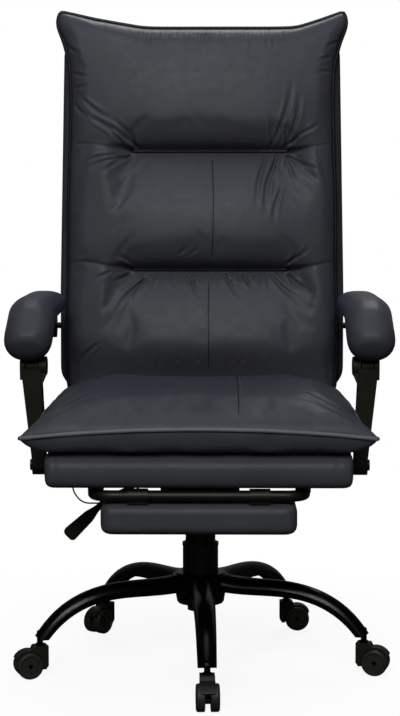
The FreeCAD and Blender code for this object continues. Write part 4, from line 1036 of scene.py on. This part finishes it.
def build_arm_pad(side, name):
    """An arm pad: level on top, with a drop-shaped nose, and two rows of stitches along its outer flank."""
    low, high = size_of("arm_pad_" + name)
    inner, outer = sorted((abs(low[0]), abs(high[0])))
    front, rear = low[1], high[1]
    half = np.array([(outer - inner) / 2, (rear - front) / 2, 30.0])
    piece = rounded_block("arm_pad_cover_" + name, half, (36.0, 44.0, 24.0), 6.0, leather)
    points = points_of(piece)
    x, y, z = points.T
    place = y + (front + rear) / 2
    top = curve_through(place, (front, front + 14, front + 36, front + 68, front + 120, rear - 60, rear - 14,
                                rear), (640, 656, 672, 684, 690, 691, 690, 684))
    under = curve_through(place, (front, front + 14, front + 36, front + 56, front + 76, front + 110, rear),
                          (602, 585, 578, 583, 602, 634, 646.5))
    share = (z / half[2] + 1) / 2
    rolled = smooth((share - 0.25) / 0.75) ** 1.4
    nose = smooth((-y - half[1] + 90) / 60)
    across = np.where(x > 0, x * (1 - 0.24 * rolled), x * (1 - 0.10 * rolled * nose))
    points[:, 0] = ((inner + outer) / 2 + across) * side
    points[:, 1] = place
    points[:, 2] = under + (top - under) * share
    if side < 0:
        piece.data.flip_normals()
    set_points(piece, points)
    subdivided(piece)
    flank = np.linspace(front + 30, rear - 14, 90)
    seam = curve_through(flank, (front, front + 36, front + 76, front + 110, rear), (612, 600, 622, 650, 656))
    rows = []
    for lift in (-4.0, 4.0):
        line = [(side * 300, a, b + lift) for a, b in zip(flank, seam)]
        rows.append(laid_on(piece, line, (-side, 0, 0), stitch_lift))
    sew("arm_stitches_" + name, "arm_" + name, rows)
    finished(piece, "arm_" + name, ["arm_pad_" + name])


# Stage

def build_camera():
    """The camera of the photograph: a long lens in front of the chair, a little above its middle."""
    data = bpy.data.cameras.new("camera")
    data.lens = camera_lens
    data.sensor_width = 36.0
    data.clip_end = 60.0
    camera = in_scene("camera", data)
    camera.location = Vector(camera_place) * MM
    camera.rotation_euler = (math.radians(90 - camera_pitch), 0, math.radians(camera_turn))
    bpy.context.scene.camera = camera


def area_light(name, place, target, width, height, power, colour=(1, 1, 1)):
    """A rectangular lamp in metres and watts, turned toward a point of the chair."""
    data = bpy.data.lights.new(name, "AREA")
    data.shape = "RECTANGLE"
    data.size = width
    data.size_y = height
    data.energy = power
    data.color = colour
    light = in_scene(name, data)
    light.location = place
    light.rotation_euler = (Vector(target) - Vector(place)).to_track_quat("-Z", "Y").to_euler()


def build_world():
    """A white surround for the camera, a pale card behind the chair for reflections, and a dim room."""
    world = bpy.data.worlds.new("studio")
    world.use_nodes = True
    tree = world.node_tree
    background = tree.nodes["Background"]
    background.inputs["Color"].default_value = (1, 1, 1, 1)
    path = node(tree, "ShaderNodeLightPath")
    heading = node(tree, "ShaderNodeTexCoord").outputs["Generated"]
    parts = node(tree, "ShaderNodeSeparateXYZ", {"Vector": heading})
    card = node(tree, "ShaderNodeMapRange", {"Value": parts.outputs["Y"], "From Min": 0.45, "From Max": 1.0,
                                             "To Min": 0.0, "To Max": card_strength})
    shown = node(tree, "ShaderNodeMath", {0: path.outputs["Is Glossy Ray"], 1: card.outputs["Result"]},
                 operation="MULTIPLY")
    plain = node(tree, "ShaderNodeMath", {0: path.outputs["Is Camera Ray"],
                                          1: path.outputs["Is Transmission Ray"]}, operation="MAXIMUM")
    seen = node(tree, "ShaderNodeMath", {0: shown.outputs["Value"], 1: plain.outputs["Value"]},
                operation="MAXIMUM")
    strength = node(tree, "ShaderNodeMapRange", {"Value": seen.outputs["Value"], "To Min": room_strength})
    tree.links.new(strength.outputs["Result"], background.inputs["Strength"])
    bpy.context.scene.world = world


def floor_material():
    """Pale paper: white to the camera with the chair's shadow on it, and darker to bounced light."""
    material, tree, shader, place = new_material("pale_floor", "f4f4f4", 0.9, Specular_IOR_Level=0.0)
    path = node(tree, "ShaderNodeLightPath")
    colour = node(tree, "ShaderNodeMix", {0: path.outputs["Is Camera Ray"], 6: srgb("404040"),
                                          7: srgb("f4f4f4")}, data_type="RGBA")
    tree.links.new(colour.outputs[2], shader.inputs["Base Color"])
    glow = node(tree, "ShaderNodeEmission", {"Color": (1, 1, 1, 1), "Strength": 1.0})
    away = node(tree, "ShaderNodeVectorMath", {0: place}, operation="LENGTH")
    fade = node(tree, "ShaderNodeMapRange", {"Value": away.outputs["Value"], "From Min": 0.25,
                                             "From Max": shadow_reach, "To Min": floor_glow, "To Max": 1.0})
    share = node(tree, "ShaderNodeMath", {0: path.outputs["Is Camera Ray"], 1: fade.outputs["Result"]},
                 operation="MULTIPLY")
    mix = node(tree, "ShaderNodeMixShader", {0: share.outputs["Value"], 1: shader.outputs["BSDF"],
                                             2: glow.outputs["Emission"]})
    tree.links.new(mix.outputs["Shader"], tree.nodes["Material Output"].inputs["Surface"])
    return material


def build_stage():
    """A white floor that keeps the shadow, a large key lamp in front, and three weaker ones."""
    build_world()
    corners = [(x * floor_half, y * floor_half, 0) for x, y in ((-1, -1), (1, -1), (1, 1), (-1, 1))]
    floor = to_piece("floor", corners, [(0, 1, 2, 3)], floor_material(), smooth_shaded=False)
    area_light("key", (-0.3, -4.2, 3.4), (0, 0, 0.6), 3.0, 2.2, 225)
    area_light("fill", (0.4, -4.2, 0.9), (0, 0, 0.6), 2.6, 1.0, 6)
    area_light("top", (0, -0.6, 3.4), (0, 0, 0.5), 2.0, 2.0, 30, (0.68, 0.76, 1.0))
    area_light("back", (0.5, 2.8, 4.2), (0, 0, 0.7), 2.4, 1.8, 85)
    bpy.context.scene.view_settings.view_transform = "Standard"


stitches = stitch_tree()
build_camera()
build_stage()
finish_cad_nodes()
back_rim = build_back_cushion()
build_back_trim(back_rim)
build_back_shell()
build_seat_cushion()
build_base_pad()
build_footrest_pad()
for arm_side, arm_name in ((1, "left"), (-1, "right")):
    build_arm_pad(arm_side, arm_name)
